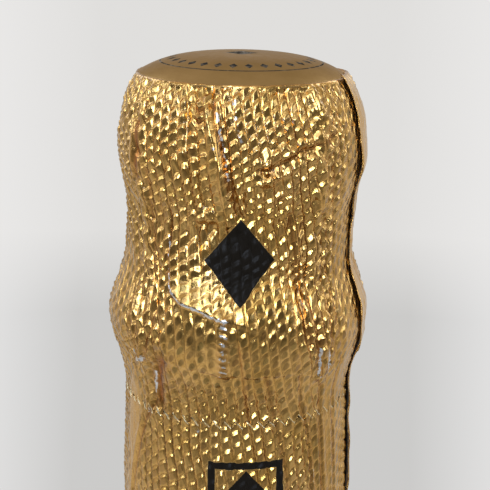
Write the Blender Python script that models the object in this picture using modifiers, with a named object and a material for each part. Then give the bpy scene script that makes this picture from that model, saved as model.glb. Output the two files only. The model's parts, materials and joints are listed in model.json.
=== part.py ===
"""A sealed champagne bottle: glass, wine, cork, wire cage, foil capsule and labels.

Lengths are in metres. The bottle stands on the origin with +Z up and its front towards -Y.
An azimuth is measured round the bottle from the front, positive towards +X.
"""

import math

import bmesh
import bpy

# Clearance between neighbouring pieces
GAP = 0.0003

# Glass bottle, from the lip down
BOTTLE_HEIGHT = 0.298
LIP_RADIUS = 0.0143
LIP_ROUND = 0.0012
LIP_DEPTH = 0.0088
COLLAR_SLOPE_HEIGHT = 0.0022
COLLAR_RADIUS = 0.0164
COLLAR_HEIGHT = 0.006
COLLAR_ROUND = 0.001
GROOVE_RADIUS = 0.0147
GROOVE_HEIGHT = 0.0045
NECK_LENGTH = 0.0285
NECK_FOOT_RADIUS = 0.0174
SHOULDER_FOOT_HEIGHT = 0.1255
BODY_RADIUS = 0.0442
HEEL_HEIGHT = 0.0095
STANDING_RING_RADIUS = 0.038
PUNT_RADIUS = 0.0325
PUNT_DEPTH = 0.029
BORE_RADIUS = 0.00875
BORE_LENGTH = 0.034
NECK_WALL = 0.0046
BODY_WALL = 0.005
BASE_THICKNESS = 0.008
INNER_HEEL_HEIGHT = 0.012
INNER_CHANNEL_RADIUS = 0.034
ULLAGE = 0.069

# Shoulder curve, as shares of its drop and of its radius growth
SHOULDER_SHARES = (
    (0.0, 0.0),
    (0.11, 0.05),
    (0.22, 0.135),
    (0.34, 0.265),
    (0.46, 0.42),
    (0.58, 0.585),
    (0.7, 0.742),
    (0.81, 0.862),
    (0.9, 0.938),
    (0.96, 0.982),
    (1.0, 1.0),
)
# Punt curve, as shares of its radius and of its depth
PUNT_SHARES = (
    (1.0, 0.0),
    (0.93, 0.14),
    (0.78, 0.42),
    (0.58, 0.7),
    (0.36, 0.89),
    (0.16, 0.98),
    (0.0, 1.0),
)

# Cork
CORK_HEAD_RADIUS = 0.016
CORK_HEAD_HEIGHT = 0.019
CORK_CROWN_RISE = 0.0026
CORK_INSERTION = 0.025
CORK_DISC_THICKNESS = 0.006
CORK_CHAMFER = 0.0006
# Mushroom head, as shares of its height and of its radius
CORK_HEAD_SHARES = (
    (0.86, 0.965),
    (0.72, 0.99),
    (0.57, 1.0),
    (0.4, 0.985),
    (0.22, 0.93),
    (0.08, 0.83),
    (0.0, 0.72),
)
CORK_WIDEST_SHARE = 0.57

# Plaque on the cork, with a flange for the hoop
PLAQUE_RADIUS = 0.0148
PLAQUE_THICKNESS = 0.0004
PLAQUE_RIM_DEPTH = 0.0007
PLAQUE_DOME_RADIUS = 0.0129
PLAQUE_STEP_HEIGHT = 0.0009
PLAQUE_DOME_RISE = 0.0033
DOME_SHARES = (0.92, 0.72, 0.48, 0.24)

# Wire cage
CAGE_WIRE = 0.0008
BELT_WIRE = 0.0009
LEG_COUNT = 4
FIRST_LEG_AZIMUTH = math.radians(-50)
LEG_WAIST_SLACK = 0.0008
STRETCH_SLOPE_SHARE = 0.35
CARRIER_STEPS = 120
LEG_TWIST_TURNS = 5
LEG_POINTS_A_TURN = 6
HOOP_POINTS = 9
HOOK_POINTS = 4
LOOP_AZIMUTH = math.radians(-7)
TAIL_LENGTH = 0.0072
TAIL_TWIST_TURNS = 1.5
LOOP_HALF_WIDTH = 0.0062
LOOP_HALF_HEIGHT = 0.0072
LOOP_LEAN = 0.0016
BELT_POINTS = 34
LOOP_POINTS = 15
TAIL_POINTS_A_TURN = 8

# Foil capsule
FOIL_THICKNESS = 0.0003
DISC_RADIUS = 0.0153
DISC_RISE = 0.0033
FOLD_WIDTH = 0.0005
HEAD_SLACK = 0.0026
WAIST_SLACK = 0.00292
WAIST_ABOVE_LIP = 0.0018
WAIST_BELOW_LIP = 0.0036
BULGE_SLACK = 0.0035
TUCK_RADIUS_SLACK = 0.00296
TUCK_DROP = 0.0081
TEAR_LINE_DROP = 0.0085
RIM_FULLNESS_SHARE = 0.8
RIM_ROW_SHARES = (0.0, 0.1, 0.22, 0.4, 0.64)
RIDGE_HALF_WIDTH = 0.0024
LOOP_FOLD_WIDTH = 0.003
SEAM_AZIMUTH = math.radians(68)
SEAM_OVERLAP = 0.004
CAPSULE_LENGTH = 0.11
SLEEVE_FLARE = 0.00055
SLEEVE_FLARE_LENGTH = 0.018

# Labels
LABEL_THICKNESS = 0.0002
FRONT_LABEL_WIDTH = 0.082
FRONT_LABEL_HEIGHT = 0.078
FRONT_LABEL_BOTTOM = 0.034
BACK_LABEL_WIDTH = 0.062
BACK_LABEL_HEIGHT = 0.056
BACK_LABEL_BOTTOM = 0.044
NECK_LABEL_HEIGHT = 0.02
NECK_LABEL_OVERLAP = 0.006
NECK_LABEL_ARC = math.radians(330)

# Fineness of the round pieces
GLASS_SEGMENTS = 36
CORK_SEGMENTS = 28
DISC_SEGMENTS = 32
FINE_RIDGE_STEP = math.radians(5)
COARSE_STEP = math.radians(13)
MERGE_DISTANCE = 0.00001
SMOOTH_ANGLE = math.radians(35)

FULL_TURN = 2 * math.pi
QUARTER_TURN = math.pi / 2

# Heights that follow from the sizes above
LIP_TOP = BOTTLE_HEIGHT
LIP_BOTTOM = LIP_TOP - LIP_DEPTH
COLLAR_TOP = LIP_BOTTOM - COLLAR_SLOPE_HEIGHT
COLLAR_BOTTOM = COLLAR_TOP - COLLAR_HEIGHT
COLLAR_MIDDLE = (COLLAR_TOP + COLLAR_BOTTOM) / 2
GROOVE_BOTTOM = COLLAR_BOTTOM - GROOVE_HEIGHT
NECK_FOOT = GROOVE_BOTTOM - NECK_LENGTH
CORK_SEAT = LIP_TOP + GAP
CORK_SHOULDER = CORK_SEAT + CORK_HEAD_HEIGHT
CORK_BOTTOM = LIP_TOP - CORK_INSERTION
CORK_WIDEST = CORK_SEAT + CORK_HEAD_HEIGHT * CORK_WIDEST_SHARE
FLANGE_UNDERSIDE = CORK_SHOULDER + GAP
FLANGE_TOP = FLANGE_UNDERSIDE + PLAQUE_THICKNESS
HOOP_HEIGHT = FLANGE_TOP + GAP + CAGE_WIRE / 2
HOOP_RADIUS = (PLAQUE_RADIUS + PLAQUE_DOME_RADIUS) / 2
DISC_EDGE = FLANGE_TOP + GAP + CAGE_WIRE + GAP / 2
FOLD_RADIUS = DISC_RADIUS - FOLD_WIDTH
FOLD_UNDERSIDE = DISC_EDGE + FOIL_THICKNESS + DISC_RISE * (1 - (FOLD_RADIUS / DISC_RADIUS) ** 2) + GAP
CAPSULE_RIM = FOLD_UNDERSIDE + FOIL_THICKNESS
BELT_HEIGHT = COLLAR_BOTTOM - GAP - BELT_WIRE / 2
BELT_RADIUS = GROOVE_RADIUS + GAP + BELT_WIRE / 2
TUCK_HEIGHT = BELT_HEIGHT - TUCK_DROP
TEAR_LINE = BELT_HEIGHT - TEAR_LINE_DROP
SLEEVE_BOTTOM = CAPSULE_RIM - CAPSULE_LENGTH
STRAND_OFFSET = (CAGE_WIRE + GAP) / 2
LEG_HALF_THICKNESS = STRAND_OFFSET + CAGE_WIRE / 2
TAIL_OFFSET = (BELT_WIRE + GAP) / 2
TAIL_HALF_THICKNESS = TAIL_OFFSET + BELT_WIRE / 2


def clear_scene():
    """Remove every object, so the script can run in any file."""
    for old in list(bpy.data.objects):
        bpy.data.objects.remove(old, do_unlink=True)


def make_collection(name):
    """A collection of its own for the bottle's pieces."""
    collection = bpy.data.collections.new(name)
    bpy.context.scene.collection.children.link(collection)
    return collection


def make_material(name, colour, roughness, metallic):
    """A plain Principled finish."""
    material = bpy.data.materials.new(name)
    material.use_nodes = True
    shader = material.node_tree.nodes["Principled BSDF"]
    shader.inputs["Base Color"].default_value = (*colour, 1)
    shader.inputs["Roughness"].default_value = roughness
    shader.inputs["Metallic"].default_value = metallic
    return material


def add_object(collection, name, data, material):
    """Put a mesh or curve into the bottle's collection."""
    piece = bpy.data.objects.new(name, data)
    data.materials.append(material)
    collection.objects.link(piece)
    return piece


def add_empty(collection, name, height):
    """An empty on the bottle's axis, which carries one moving group."""
    empty = bpy.data.objects.new(name, None)
    empty.location.z = height
    empty.empty_display_size = BODY_RADIUS
    collection.objects.link(empty)
    return empty


def carry(piece, empty):
    """Parent a piece to its group's empty, leaving it where it stands."""
    piece.parent = empty
    piece.matrix_parent_inverse.translation.z = -empty.location.z


def turned(collection, name, profile, material, segments):
    """A solid of revolution. The profile runs from axis to axis, down its outer side."""
    mesh = bpy.data.meshes.new(name)
    edges = [(i, i + 1) for i in range(len(profile) - 1)]
    mesh.from_pydata([(radius, 0, height) for radius, height in profile], edges, [])
    piece = add_object(collection, name, mesh, material)
    screw = piece.modifiers.new("turn", "SCREW")
    screw.axis = "Z"
    screw.angle = FULL_TURN
    screw.steps = segments
    screw.render_steps = segments
    screw.use_merge_vertices = True
    screw.merge_threshold = MERGE_DISTANCE
    screw.use_smooth_shade = True
    return piece


def wire(collection, name, points, diameter, material):
    """A round wire with closed ends along a list of points."""
    curve = bpy.data.curves.new(name, "CURVE")
    curve.dimensions = "3D"
    curve.bevel_depth = diameter / 2
    curve.bevel_resolution = 1
    curve.use_fill_caps = True
    spline = curve.splines.new("POLY")
    spline.points.add(len(points) - 1)
    for spot, point in zip(spline.points, points):
        spot.co = (*point, 1)
    return add_object(collection, name, curve, material)


def sheet(collection, name, columns, heights, radius_at, thickness, material):
    """A thin sheet round the bottle's axis, from a grid of azimuths and heights.

    radius_at(azimuth, height, column share) gives its inner face, and the thickness goes outward.
    """
    mesh = bpy.data.meshes.new(name)
    shell = bmesh.new()
    last = len(columns) - 1
    rows = []
    for height in heights:
        row = []
        for number, azimuth in enumerate(columns):
            radius = radius_at(azimuth, height, number / last)
            row.append(shell.verts.new(around(radius, azimuth, height)))
        rows.append(row)
    for upper, lower in zip(rows, rows[1:]):
        for side in range(last):
            shell.faces.new((upper[side], lower[side], lower[side + 1], upper[side + 1]))
    shell.to_mesh(mesh)
    shell.free()
    mesh.shade_smooth()
    mesh.set_sharp_from_angle(angle=SMOOTH_ANGLE)
    piece = add_object(collection, name, mesh, material)
    solid = piece.modifiers.new("thickness", "SOLIDIFY")
    solid.thickness = thickness
    solid.offset = 1
    return piece


def around(radius, azimuth, height):
    """The point at an azimuth, a radius from the axis and a height."""
    return (radius * math.sin(azimuth), -radius * math.cos(azimuth), height)


def ease(start, end, share):
    """A smooth change from start to end as share goes from 0 to 1."""
    share = min(max(share, 0), 1)
    return start + (end - start) * share * share * (3 - 2 * share)


def between(start, end, count):
    """Count values spread evenly from start to end, both included."""
    return [start + (end - start) * i / (count - 1) for i in range(count)]


def outline_radius(outline, height):
    """The largest radius that an outline of (radius, height) points has at a height."""
    reach = 0
    for (upper_radius, upper), (lower_radius, lower) in zip(outline, outline[1:]):
        if min(upper, lower) <= height <= max(upper, lower):
            share = 0 if upper == lower else (upper - height) / (upper - lower)
            reach = max(reach, upper_radius + (lower_radius - upper_radius) * share)
    return reach


def shoulder(foot_radius, body_radius, shares):
    """The shoulder's curve, from the neck's foot down to the body."""
    drop = NECK_FOOT - SHOULDER_FOOT_HEIGHT
    growth = body_radius - foot_radius
    return [(foot_radius + growth * wide, NECK_FOOT - drop * deep) for deep, wide in shares]


def arc(radius, height, radius_reach, height_reach, start, end, count):
    """Points of a quarter-like arc round (radius, height), with unlike reaches."""
    return [
        (radius + radius_reach * math.cos(turn), height + height_reach * math.sin(turn))
        for turn in between(start, end, count)
    ]


def glass_outside():
    """The bottle's outer outline, from the lip's top down to its standing ring."""
    points = arc(LIP_RADIUS - LIP_ROUND, LIP_TOP - LIP_ROUND, LIP_ROUND, LIP_ROUND, QUARTER_TURN, 0, 4)
    points.append((LIP_RADIUS, LIP_BOTTOM))
    points += arc(COLLAR_RADIUS - COLLAR_ROUND, COLLAR_TOP - COLLAR_ROUND, COLLAR_ROUND, COLLAR_ROUND,
                  QUARTER_TURN, 0, 3)
    points.append((COLLAR_RADIUS, COLLAR_BOTTOM))
    points.append((GROOVE_RADIUS, COLLAR_BOTTOM))
    points += [
        (ease(GROOVE_RADIUS, NECK_FOOT_RADIUS, share * share), GROOVE_BOTTOM - NECK_LENGTH * share)
        for share in between(0, 1, 6)
    ][:-1]
    points += shoulder(NECK_FOOT_RADIUS, BODY_RADIUS, SHOULDER_SHARES)
    heel_reach = BODY_RADIUS - STANDING_RING_RADIUS
    points += arc(STANDING_RING_RADIUS, HEEL_HEIGHT, heel_reach, HEEL_HEIGHT, 0, -QUARTER_TURN, 6)
    return points


def glass_inside(gap):
    """The bottle's inner outline from the mouth down to the axis, drawn in by a gap."""
    bore = BORE_RADIUS - gap
    bore_foot = LIP_TOP - BORE_LENGTH
    points = [(bore, LIP_TOP)]
    points += [
        (ease(bore, NECK_FOOT_RADIUS - NECK_WALL - gap, share), bore_foot + (NECK_FOOT - bore_foot) * share)
        for share in between(0, 1, 4)
    ][:-1]
    shares = SHOULDER_SHARES[::2]
    points += shoulder(NECK_FOOT_RADIUS - NECK_WALL - gap, BODY_RADIUS - BODY_WALL - gap, shares)
    floor = BASE_THICKNESS + gap
    heel_reach = BODY_RADIUS - BODY_WALL - gap - INNER_CHANNEL_RADIUS
    points += arc(INNER_CHANNEL_RADIUS, floor + INNER_HEEL_HEIGHT, heel_reach, INNER_HEEL_HEIGHT,
                  0, -QUARTER_TURN, 5)
    points += [(INNER_CHANNEL_RADIUS * wide, floor + PUNT_DEPTH * deep) for wide, deep in PUNT_SHARES[1:]]
    return points


def cork_outline():
    """The agglomerated cork's outline, from its crown down to its end above the discs."""
    crown_radius = PLAQUE_DOME_RADIUS - PLAQUE_THICKNESS - GAP
    corner_radius = PLAQUE_RADIUS - PLAQUE_THICKNESS - GAP
    points = [
        (crown_radius * share, CORK_SHOULDER + CORK_CROWN_RISE * (1 - share * share))
        for share in (0, 0.35, 0.7)
    ]
    points.append((crown_radius, CORK_SHOULDER))
    points.append((corner_radius, CORK_SHOULDER - PLAQUE_RIM_DEPTH))
    points += [
        (CORK_HEAD_RADIUS * wide, CORK_SEAT + CORK_HEAD_HEIGHT * deep) for deep, wide in CORK_HEAD_SHARES
    ]
    shank = BORE_RADIUS - GAP
    points.append((shank, CORK_SEAT))
    points.append((shank, CORK_BOTTOM + 2 * (CORK_DISC_THICKNESS + GAP)))
    points.append((0, CORK_BOTTOM + 2 * (CORK_DISC_THICKNESS + GAP)))
    return points


def cork_disc_outline(bottom, chamfer):
    """One glued disc of natural cork, with an optional chamfer round its lower edge."""
    shank = BORE_RADIUS - GAP
    top = bottom + CORK_DISC_THICKNESS
    outline = [(0, top), (shank, top), (shank, bottom + chamfer)]
    if chamfer:
        outline.append((shank - chamfer, bottom))
    else:
        outline[-1] = (shank, bottom)
    outline.append((0, bottom))
    return outline


def plaque_outline():
    """The domed plaque: crown, step, flange and turned-down rim, then its underside."""
    step_top = FLANGE_TOP + PLAQUE_STEP_HEIGHT
    crest = step_top + PLAQUE_DOME_RISE
    inner_dome = PLAQUE_DOME_RADIUS - PLAQUE_THICKNESS
    top = [(0, crest)]
    top += [
        (PLAQUE_DOME_RADIUS * share, step_top + PLAQUE_DOME_RISE * (1 - share * share))
        for share in reversed(DOME_SHARES)
    ]
    top += [(PLAQUE_DOME_RADIUS, step_top), (PLAQUE_DOME_RADIUS, FLANGE_TOP)]
    top += [(PLAQUE_RADIUS, FLANGE_TOP), (PLAQUE_RADIUS, FLANGE_UNDERSIDE - PLAQUE_RIM_DEPTH)]
    under = [(PLAQUE_RADIUS - PLAQUE_THICKNESS, FLANGE_UNDERSIDE - PLAQUE_RIM_DEPTH)]
    under += [(PLAQUE_RADIUS - PLAQUE_THICKNESS, FLANGE_UNDERSIDE), (inner_dome, FLANGE_UNDERSIDE)]
    under.append((inner_dome, step_top - PLAQUE_THICKNESS))
    under += [
        (inner_dome * share, step_top - PLAQUE_THICKNESS + PLAQUE_DOME_RISE * (1 - share * share))
        for share in DOME_SHARES
    ]
    under.append((0, crest - PLAQUE_THICKNESS))
    return top + under


def disc_outline():
    """The smooth foil disc on top of the capsule."""
    shares = (1, *DOME_SHARES)
    top = [
        (DISC_RADIUS * share, DISC_EDGE + FOIL_THICKNESS + DISC_RISE * (1 - share * share))
        for share in reversed(shares)
    ]
    under = [(DISC_RADIUS * share, DISC_EDGE + DISC_RISE * (1 - share * share)) for share in shares]
    axis_top = (0, DISC_EDGE + FOIL_THICKNESS + DISC_RISE)
    return [axis_top, *top, *under, (0, DISC_EDGE + DISC_RISE)]


def stretched_over(height, half_thickness):
    """How far out a wire or foil lies near a height, pulled tight over plaque, cork and glass."""
    reach = 0
    for place, radius in CARRIERS:
        away = max(abs(height - place) - half_thickness, 0)
        reach = max(reach, radius - STRETCH_SLOPE_SHARE * away)
    return reach + GAP


def leg_radius(height):
    """The radius of a cage leg's middle line at a height."""
    waist = LIP_RADIUS + LEG_WAIST_SLACK
    return max(stretched_over(height, LEG_HALF_THICKNESS), waist) + LEG_HALF_THICKNESS


def leg_strand(azimuth, phase):
    """One strand of a twisted leg, from the plaque's edge down to the belt."""
    top = FLANGE_UNDERSIDE
    bottom = BELT_HEIGHT + BELT_WIRE
    count = LEG_TWIST_TURNS * LEG_POINTS_A_TURN + 1
    points = []
    for share in between(0, 1, count):
        height = top + (bottom - top) * share
        turn = phase + FULL_TURN * LEG_TWIST_TURNS * share
        radius = leg_radius(height) + STRAND_OFFSET * math.cos(turn)
        points.append(around(radius, azimuth + STRAND_OFFSET * math.sin(turn) / radius, height))
    return points


def edge_crossing(azimuth, side):
    """From the hoop over the plaque's edge to the top of a leg."""
    turn = side * STRAND_OFFSET
    crossing_radius = PLAQUE_RADIUS + GAP
    corner_radius = (crossing_radius + leg_radius(FLANGE_UNDERSIDE)) / 2 + GAP / 2
    return [
        around(HOOP_RADIUS, azimuth + side * LEG_HALF_THICKNESS / HOOP_RADIUS, HOOP_HEIGHT),
        around(crossing_radius, azimuth + turn / crossing_radius, HOOP_HEIGHT - GAP / 5),
        around(corner_radius, azimuth + turn / corner_radius, FLANGE_TOP + GAP),
    ]


def belt_hook(azimuth, side):
    """The end of a strand, bent in under the belt."""
    reach = BELT_WIRE / 2 + GAP + CAGE_WIRE / 2
    shift = side * STRAND_OFFSET
    start = around(BELT_RADIUS + reach, azimuth + shift / BELT_RADIUS, BELT_HEIGHT)
    turns = between(0, QUARTER_TURN, HOOK_POINTS)[1:]
    return [start] + [
        around(BELT_RADIUS + reach * math.cos(turn), azimuth + shift / BELT_RADIUS,
               BELT_HEIGHT - reach * math.sin(turn))
        for turn in turns
    ]


def cage_wire_path(number):
    """Up one leg, round a quarter of the hoop and down the next leg."""
    azimuth = FIRST_LEG_AZIMUTH + number * FULL_TURN / LEG_COUNT
    following = azimuth + FULL_TURN / LEG_COUNT
    rising = belt_hook(azimuth, 1)[::-1] + leg_strand(azimuth, QUARTER_TURN)[::-1]
    inset = 2 * LEG_HALF_THICKNESS / HOOP_RADIUS
    hoop = [
        around(HOOP_RADIUS, turn, HOOP_HEIGHT)
        for turn in between(azimuth + inset, following - inset, HOOP_POINTS)
    ]
    falling = leg_strand(following, -QUARTER_TURN) + belt_hook(following, -1)
    return rising + edge_crossing(azimuth, 1)[::-1] + hoop + edge_crossing(following, -1) + falling


def tail_radius(height):
    """The radius of the belt's folded-up tail and loop at a height."""
    waist = LIP_RADIUS + LEG_WAIST_SLACK
    return max(stretched_over(height, TAIL_HALF_THICKNESS), waist) + TAIL_HALF_THICKNESS


def tail_strand(phase):
    """One strand of the belt's twisted tail, folded up against the collar."""
    bottom = COLLAR_BOTTOM + GAP
    count = round(TAIL_TWIST_TURNS * TAIL_POINTS_A_TURN) + 1
    points = []
    for share in between(0, 1, count):
        height = bottom + TAIL_LENGTH * share
        turn = phase + FULL_TURN * TAIL_TWIST_TURNS * share
        radius = tail_radius(height) + TAIL_OFFSET * math.cos(turn)
        points.append(around(radius, LOOP_AZIMUTH + TAIL_OFFSET * math.sin(turn) / radius, height))
    return points


def loop_points(start_side):
    """The open loop above the twisted tail, leaning as it rises."""
    bottom = COLLAR_BOTTOM + GAP + TAIL_LENGTH
    opening = math.asin(min(TAIL_OFFSET / LOOP_HALF_WIDTH, 1))
    points = []
    for turn in between(opening * 2, FULL_TURN - opening * 2, LOOP_POINTS):
        height = bottom + LOOP_HALF_HEIGHT * (1 - math.cos(turn))
        lean = LOOP_LEAN * (1 - math.cos(turn)) / 2
        radius = tail_radius(height)
        across = start_side * LOOP_HALF_WIDTH * math.sin(turn) - lean
        points.append(around(radius, LOOP_AZIMUTH + across / radius, height))
    return points


def belt_path():
    """Up the tail, round the loop, down the tail and round the neck, as one wire."""
    spread = TAIL_HALF_THICKNESS / BELT_RADIUS
    knee_radius = (BELT_RADIUS + tail_radius(COLLAR_BOTTOM)) / 2
    knee_turn = TAIL_HALF_THICKNESS / knee_radius
    rising = tail_strand(QUARTER_TURN)
    falling = tail_strand(-QUARTER_TURN)[::-1]
    ring = [
        around(BELT_RADIUS, turn, BELT_HEIGHT)
        for turn in between(LOOP_AZIMUTH - spread, LOOP_AZIMUTH + 2 * spread - FULL_TURN, BELT_POINTS)
    ]
    start = around(knee_radius, LOOP_AZIMUTH + knee_turn, BELT_HEIGHT)
    end = around(knee_radius, LOOP_AZIMUTH - knee_turn, BELT_HEIGHT)
    side = -1 if round(2 * TAIL_TWIST_TURNS) % 2 else 1
    return [start] + rising + loop_points(side) + falling + [end] + ring


def foil_radius(height):
    """The outer radius of the foil between the legs, from its rim down past the tear line."""
    head = CORK_HEAD_RADIUS + HEAD_SLACK
    waist = LIP_RADIUS + WAIST_SLACK
    bulge = COLLAR_RADIUS + BULGE_SLACK
    tuck = GROOVE_RADIUS + TUCK_RADIUS_SLACK
    waist_top = LIP_TOP + WAIST_ABOVE_LIP
    waist_bottom = LIP_TOP - WAIST_BELOW_LIP
    if height >= CORK_WIDEST:
        share = (CAPSULE_RIM - height) / (CAPSULE_RIM - CORK_WIDEST)
        fullness = max(1 - (1 - share) ** 2, 0) ** RIM_FULLNESS_SHARE
        return DISC_RADIUS + (head - DISC_RADIUS) * fullness
    if height >= waist_top:
        return ease(head, waist, (CORK_WIDEST - height) / (CORK_WIDEST - waist_top))
    if height >= waist_bottom:
        return waist
    if height >= COLLAR_MIDDLE:
        return ease(waist, bulge, (waist_bottom - height) / (waist_bottom - COLLAR_MIDDLE))
    if height >= TUCK_HEIGHT:
        return ease(bulge, tuck, (COLLAR_MIDDLE - height) / (COLLAR_MIDDLE - TUCK_HEIGHT))
    flared = ease(tuck, tuck + SLEEVE_FLARE, (TUCK_HEIGHT - height) / SLEEVE_FLARE_LENGTH)
    return max(flared, outline_radius(GLASS_OUTSIDE, height) + GAP + FOIL_THICKNESS)


def turn_between(azimuth, other):
    """The smallest angle between two azimuths."""
    return abs((azimuth - other + math.pi) % FULL_TURN - math.pi)


def bump(distance, width):
    """How much of a ridge's height is left at a distance from its crest."""
    return math.exp(-((distance / width) ** 2))


def skirt_radius(azimuth, height, share):
    """The skirt's inner face: tented over the legs and the loop, and wound inward from its seam."""
    wound = (FOIL_THICKNESS + GAP) * (1 - share)
    if height >= FOLD_UNDERSIDE:
        return FOLD_RADIUS + wound
    inner = max(foil_radius(height) - FOIL_THICKNESS, stretched_over(height, GAP), DISC_RADIUS + GAP)
    if height < BELT_HEIGHT - BELT_WIRE:
        return inner + wound
    crest = leg_radius(min(height, FLANGE_UNDERSIDE)) + LEG_HALF_THICKNESS + GAP
    crest = ease(crest, inner, (height - FLANGE_UNDERSIDE) / (FOLD_UNDERSIDE - FLANGE_UNDERSIDE))
    reach = inner
    for number in range(LEG_COUNT):
        leg = FIRST_LEG_AZIMUTH + number * FULL_TURN / LEG_COUNT
        aside = turn_between(azimuth, leg) * inner
        reach = max(reach, inner + (crest - inner) * bump(aside, RIDGE_HALF_WIDTH))
    loop_top = COLLAR_BOTTOM + GAP + TAIL_LENGTH + 2 * LOOP_HALF_HEIGHT
    crest = tail_radius(min(height, loop_top)) + TAIL_HALF_THICKNESS + GAP
    middle = LOOP_AZIMUTH - LOOP_LEAN / 2 / inner
    aside = max(turn_between(azimuth, middle) * inner - LOOP_HALF_WIDTH - BELT_WIRE, 0)
    above = max(height - loop_top - BELT_WIRE, 0)
    reach = max(reach, inner + (crest - inner) * bump(math.hypot(aside, above), LOOP_FOLD_WIDTH))
    return reach + wound


def sleeve_radius(_azimuth, height, share):
    """The lower sleeve's inner face, wound inward from its seam."""
    return foil_radius(height) - FOIL_THICKNESS + (FOIL_THICKNESS + GAP) * (1 - share)


def coarse_columns(start, end):
    """Azimuths from start to end, no more than the coarse step apart."""
    return between(start, end, math.ceil((end - start) / COARSE_STEP) + 1)


def wrap_columns(steps_fine):
    """Azimuths round the bottle from the seam, close together near the legs and the loop."""
    start = SEAM_AZIMUTH
    end = SEAM_AZIMUTH + FULL_TURN + SEAM_OVERLAP / foil_radius(LIP_TOP)
    if not steps_fine:
        return coarse_columns(start, end)
    legs = [FIRST_LEG_AZIMUTH + number * FULL_TURN / LEG_COUNT for number in range(LEG_COUNT + 1)]
    marks = sorted(leg + FULL_TURN if leg < start else leg for leg in legs[:LEG_COUNT])
    columns = [start]
    for mark in marks:
        ridge = [mark + FINE_RIDGE_STEP * k for k in (-2, -1, 0, 1, 2)]
        columns += coarse_columns(columns[-1], ridge[0])[1:-1]
        columns += ridge
    columns += coarse_columns(columns[-1], end)[1:]
    return columns


def skirt_heights():
    """Heights of the skirt's rows, from its rolled edge to the tear line."""
    brim = FOLD_UNDERSIDE - GAP / 3
    head = [FOLD_UNDERSIDE] + [brim + (CORK_WIDEST - brim) * share for share in RIM_ROW_SHARES]
    waist_top = LIP_TOP + WAIST_ABOVE_LIP
    waist_bottom = LIP_TOP - WAIST_BELOW_LIP
    below = between(CORK_WIDEST, waist_top, 5)[:-1]
    below += between(waist_top, waist_bottom, 3)[:-1]
    below += between(waist_bottom, COLLAR_MIDDLE, 6)[:-1]
    below += between(COLLAR_MIDDLE, TEAR_LINE + GAP, 7)
    return head + below


def body_label(collection, name, middle, size, bottom, material):
    """A paper label of a (width, height) size, stuck to the straight part of the body."""
    width, height = size
    half = width / 2 / BODY_RADIUS
    columns = between(middle - half, middle + half, 2 * math.ceil(half / COARSE_STEP) + 1)
    heights = (bottom + height, bottom)

    def radius(*_):
        return BODY_RADIUS + GAP

    return sheet(collection, name, columns, heights, radius, LABEL_THICKNESS, material)


def neck_label(collection, material):
    """A band round the foot of the foil, open at the back."""
    half = NECK_LABEL_ARC / 2
    columns = between(-half, half, 2 * math.ceil(half / COARSE_STEP) + 1)
    top = SLEEVE_BOTTOM + NECK_LABEL_OVERLAP
    heights = between(top, top - NECK_LABEL_HEIGHT, 5)

    def radius(_azimuth, height, _share):
        glass = outline_radius(GLASS_OUTSIDE, height) + GAP
        return glass + 2 * (FOIL_THICKNESS + GAP)

    return sheet(collection, "neck_label", columns, heights, radius, LABEL_THICKNESS, material)


GLASS_OUTSIDE = glass_outside()
CORK_OUTLINE = cork_outline()
PLAQUE_OUTLINE = plaque_outline()
COVERED_OUTLINES = (GLASS_OUTSIDE, CORK_OUTLINE, PLAQUE_OUTLINE)
CARRIERS = [
    (place, max(outline_radius(outline, place) for outline in COVERED_OUTLINES))
    for place in between(BELT_HEIGHT, FLANGE_TOP, CARRIER_STEPS)
]


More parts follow.
